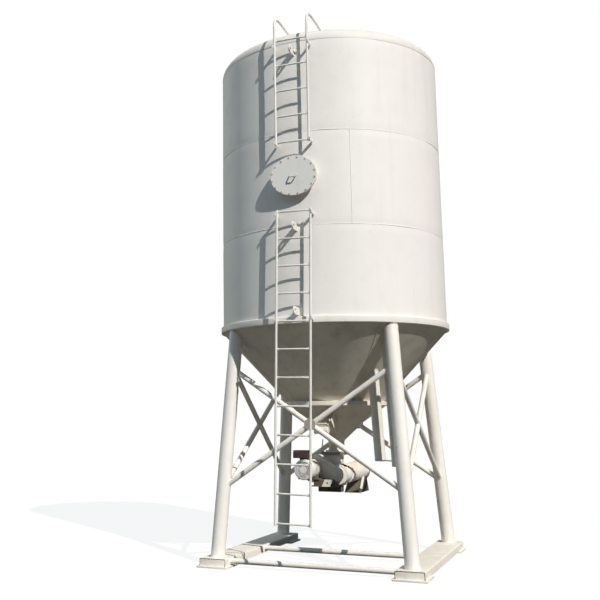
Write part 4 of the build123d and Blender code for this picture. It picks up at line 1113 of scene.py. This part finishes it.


# Near-black paint: painted shade on the chute's faces.
chute_painted_shade = weathered(
    "chute_painted_shade", (0.095, 0.088, 0.07), (0.05, 0.04, 0.03), dust=(0.26, 0.22, 0.17), settled=0.3,
    mottle=0.45, streaks=0.4, gloss=0.6,
)
make_piece("flared_chute", [walled(skirt_wall)], chute_painted_shade, ("outlet_chute",))
# The pale corner bar against the near-black sheets: a painted highlight along the lit edge.
corner_low = np.array([feeder_x + 0.1, chute_y - chute_lean - 0.221, chute_low])
corner_high = np.array([feeder_x + 0.091, chute_y - 0.082, chute_head - 0.004])
corner_run = np.linalg.norm(corner_high - corner_low)
corner_way = (corner_high - corner_low) / corner_run
corner_out = np.cross(corner_way, (-1.0, 1.0, 0.0))
corner_out /= np.linalg.norm(corner_out)
corner_outline = rounded_box(corner_run / 2, 0.017, 0.002, 2)
corner_middle = (corner_low + corner_high) / 2
corner_bar = slab(corner_outline, -0.004, 0.004, corner_middle, corner_way, corner_out, 0.001)
make_piece("chute_highlight_bar", [corner_bar], pipe_paint)

# Inlet box: four sheets of 6 mm welded into a square duct between the valve and the feeder tube, cut
# below to the tube's curve.
duct_half = 0.1
duct_x = -0.04


def duct_wall(inset):
    """A rounded rectangle under the valve, and where plumb lines from it meet the top of the tube."""
    outline = finer(rounded_box(duct_half - inset, duct_half - inset, 0.004, 3), 8) + (duct_x, 0)
    top = np.insert(outline, 2, valve_low, axis=1)
    return top, stop_at_tube(top, top * (1, 1, 0) + (0, 0, feeder_height - 0.02))


duct_paint = weathered("duct_paint", (0.84, 0.8, 0.7), (0.3, 0.22, 0.14), streaks=0.3, specks=0.9)
make_piece("inlet_duct", [walled(duct_wall)], duct_paint, stands_for=("inlet_box",))

# Belt guard: a flat housing folded from sheet round both pulleys, with rounded rims and a rolled lip
# where its two halves meet.
guard_front = 0.184
guard_back = 0.118
lip_low, lip_high = 0.145, 0.155
big_pulley = np.array([-0.237, 1.035])
small_pulley = np.array([feeder_x, feeder_height])
facing_front = ((0, 0, 0), (1, 0, 0), (0, 0, 1))


def belt_outline(big_radius, small_radius):
    """The hull of two circles: the far arc of each, joined by the two lines that touch both."""
    between = small_pulley - big_pulley
    heading = np.arctan2(between[1], between[0])
    swing = np.arccos((big_radius - small_radius) / np.hypot(*between))
    far_arc = np.linspace(heading + swing, heading + 2 * np.pi - swing, 49)
    near_arc = np.linspace(heading - swing, heading + swing, 25)
    outline = np.concatenate([
        big_pulley + big_radius * np.stack([np.cos(far_arc), np.sin(far_arc)], axis=1),
        small_pulley + small_radius * np.stack([np.cos(near_arc), np.sin(near_arc)], axis=1),
    ])
    return np.concatenate([outline, outline[:1]])


guard_halves = [
    slab(belt_outline(0.165, 0.077), guard_back, guard_front, *facing_front, 0.005),
    slab(belt_outline(0.168, 0.08), lip_low, lip_high, *facing_front, 0.0025),
]
guard_paint = weathered(
    "guard_paint", (0.82, 0.78, 0.7), (0.3, 0.22, 0.14), dust=(0.84, 0.8, 0.66), settled=0.6
)
make_piece("folded_belt_guard", guard_halves, guard_paint, stands_for=("belt_guard",))

# Feeder motor: a cast body with cooling fins along it, a fan cowl pressed from sheet with a ringed
# inlet in front, an end shield against the guard and a terminal box on its left shoulder.
motor_back = -guard_front
motor_radius = 0.106
cowl_radius = 0.117
cowl_low, cowl_high = 0.265, 0.38
ring_face = cowl_high - 0.0015
ring_pit = cowl_high - 0.028
motor_axis = np.array([big_pulley[0], motor_back, big_pulley[1]])
fins = 44
fin_depth = 0.011


def finned_body():
    """A turned body whose radius rises and falls with the angle: fins between its two end bands."""
    angle = np.linspace(0, 2 * np.pi, 6 * fins + 1)[:, None]
    crest = np.clip(1.6 * np.cos(fins * angle), -1, 1) * 0.5 + 0.5
    depth = np.array([0, 0, 0.002, 0.028, 0.03, 0.034, 0.2645, 0.2685, 0.27, 0.27])[None, :]
    finned = np.array([0, 0, 0, 0, 0, 1, 1, 0, 0, 0])[None, :]
    radius = np.array([0, 0.99, 1, 1, 0.99, 1, 1, 0.9, 0.9, 0])[None, :] * motor_radius
    radius = radius - finned * fin_depth * (1 - crest)
    wall = [radius * np.sin(angle), -depth + 0 * angle, radius * np.cos(angle)]
    return motor_axis + np.stack(wall, axis=-1)


cowl_shape = [
    (0, cowl_low), (cowl_radius - 0.002, cowl_low), (cowl_radius, cowl_low + 0.002), (cowl_radius, 0.364),
    (cowl_radius - 0.005, 0.375), (cowl_radius - 0.014, cowl_high), (0.088, cowl_high), (0.088, ring_pit),
]
for wide, narrow in ((0.0775, 0.0705), (0.06, 0.053)):
    cowl_shape += [(wide, ring_pit), (wide, ring_face), (narrow, ring_face), (narrow, ring_pit)]
cowl_shape += [(0.0425, ring_pit), (0.0425, ring_face), (0, ring_face)]
cowl = turned(cowl_shape, 96, motor_axis, (0, -1, 0))
motor_paint = weathered(
    "motor_paint", (0.8, 0.785, 0.75), (0.3, 0.26, 0.2), dust=(0.84, 0.8, 0.72), settled=0.6, mottle=0.22,
    specks=0.6,
)
make_piece("finned_motor", [finned_body(), cowl], motor_paint, ("feeder_motor",))
box_middle = motor_axis + (-0.085, -0.17, 0.168)
box_half = np.array([0.09, 0.065, 0.045])
neck_middle = motor_axis + (-0.06, -0.17, 0.1)
neck_half = np.array([0.0375, 0.052, 0.04])
box_parts = [
    boxed(box_middle - box_half, box_middle + box_half * (1, 1, 0.66), 0.005),
    boxed(box_middle + box_half * (-1, -1, 0.7), box_middle + box_half, 0.003),
    boxed(neck_middle - neck_half, neck_middle + neck_half, 0.004),
]
box_paint = weathered(
    "box_paint", (0.06, 0.028, 0.032), (0.04, 0.035, 0.035), mottle=0.4, specks=0.2, settled=0.2, gloss=0.6
)
make_piece("terminal_box", box_parts, box_paint)

# Motor base: a lower plate under motor and tube, box beams below and above it, and a raised seat plate
# with two feet that carry the motor. A holed lug plate is welded in front. The base plates are painted a
# dark brown.
base_top = feeder_height - feeder_radius
base_plate = 0.012
base_front = -0.4
beam_front = -0.384
seat_low = base_top + 0.066
seat_top = seat_low + base_plate
foot_top = seat_top + 0.032
base_parts = [
    boxed((-0.2, base_front, base_top - base_plate), (0.1, 0.04, base_top), 0.002),
    boxed((-0.1996, -0.13, base_top - 0.088), (0.0804, -0.01, base_top - base_plate), 0.003),
    boxed((-0.36, base_front, seat_low), (-0.1, -0.2, seat_top), 0.002),
    boxed((-0.175, beam_front, base_top), (0.03, -0.21, seat_low), 0.003),
]
for x in big_pulley[0] + np.array([-0.07, 0.07]):
    base_parts.append(boxed((x - 0.02, beam_front, seat_top), (x + 0.02, -0.224, foot_top), 0.003))
base_steel = weathered(
    "base_steel", (0.13, 0.105, 0.085), (0.06, 0.05, 0.035), (0.2, 0.09, 0.04), (0.4, 0.32, 0.24),
    settled=0.35, mottle=0.5, streaks=0.3, specks=0.9, gloss=0.6,
)
make_piece("motor_base_plates", base_parts, base_steel, ("motor_base",))
base_bolts = [
    hex_head((big_pulley[0] + x, y, seat_top), (0, 0, 1), 0.017, 0.009)
    for x in (-0.105, 0.105) for y in (-0.36, -0.25)
]
make_piece("motor_base_bolts", base_bolts, base_steel)
base_lug_outline = np.array([(-0.07, -0.04), (0.03, -0.04), (0.07, 0.04), (-0.03, 0.04), (-0.07, -0.04)])
base_lug_middle = (-0.005, base_front, base_top + 0.03)
base_lug = holed_plate(
    finer(base_lug_outline, 12), (0, 0), 0.011, 0.01, 0.001, base_lug_middle, (1, 0, 0), (0, 0, 1)
)
make_piece("base_lug_plate", [base_lug], duct_paint)

# Vibrator mount and vibrator: a plate on two ribs welded along the lower cone, a pair of longer ribs
# beside it, and a round casing on a foot that shakes the cone clear. Bolts hold the foot.
mount_rise = 0.26
mount_reach = 0.125
mount_plate = 0.01
mount_out = np.array([0, -1, -low_slope]) / np.hypot(1, low_slope)
mount_up = np.array([0, -low_slope, 1]) / np.hypot(1, low_slope)
mount_foot = np.array([-0.03, -(outlet_radius + low_slope * mount_rise), outlet_top + mount_rise])
mount_middle = mount_foot + mount_reach * mount_out
mount_axes = ((1, 0, 0), mount_up)
mount_parts = [slab(rounded_box(0.095, 0.065, 0.004, 2), 0, mount_plate, mount_middle, *mount_axes, 0.0015)]
for x, half_width, half_length, depth in (
    (-0.07, 0.005, 0.06, 0.148), (0.07, 0.005, 0.06, 0.135),
    (0.105, 0.004, 0.105, 0.14), (0.13, 0.004, 0.105, 0.148),
):
    rib_outline = rounded_box(half_width, half_length, 0.001, 2)
    mount_parts.append(slab(rib_outline, -depth, 0.0, mount_middle + (x, 0, 0), *mount_axes, 0.0008))
mount_paint = weathered(
    "mount_paint", (0.84, 0.79, 0.71), (0.3, 0.2, 0.12), (0.3, 0.13, 0.05), mottle=0.25, specks=1.0
)
make_piece("mount_plate_and_ribs", mount_parts, mount_paint, ("vibrator_mount",))
casing_half = np.array([
    (0.0385, 0.05), (0.042, 0.052), (0.042, 0.08), (0.036, 0.085), (0, 0.085)
])
casing_shape = np.concatenate([casing_half[::-1] * (1, -1), casing_half])
vibrator_parts = [
    turned(casing_shape, 48, mount_middle + 0.056 * mount_out, (1, 0, 0)),
    slab(rounded_box(0.055, 0.035, 0.006, 3), mount_plate, 0.022, mount_middle, *mount_axes, 0.002),
    slab(rounded_box(0.045, 0.014, 0.003, 2), 0.02, 0.05, mount_middle, *mount_axes, 0.001),
]
vibrator_parts += [
    hex_head(mount_middle + mount_plate * mount_out + (x, 0, 0) + y * mount_up, mount_out, 0.016, 0.008)
    for x in (-0.078, 0.078) for y in (-0.045, 0.045)
]
make_piece("vibrator_casing", vibrator_parts, mount_paint, ("vibrator",))
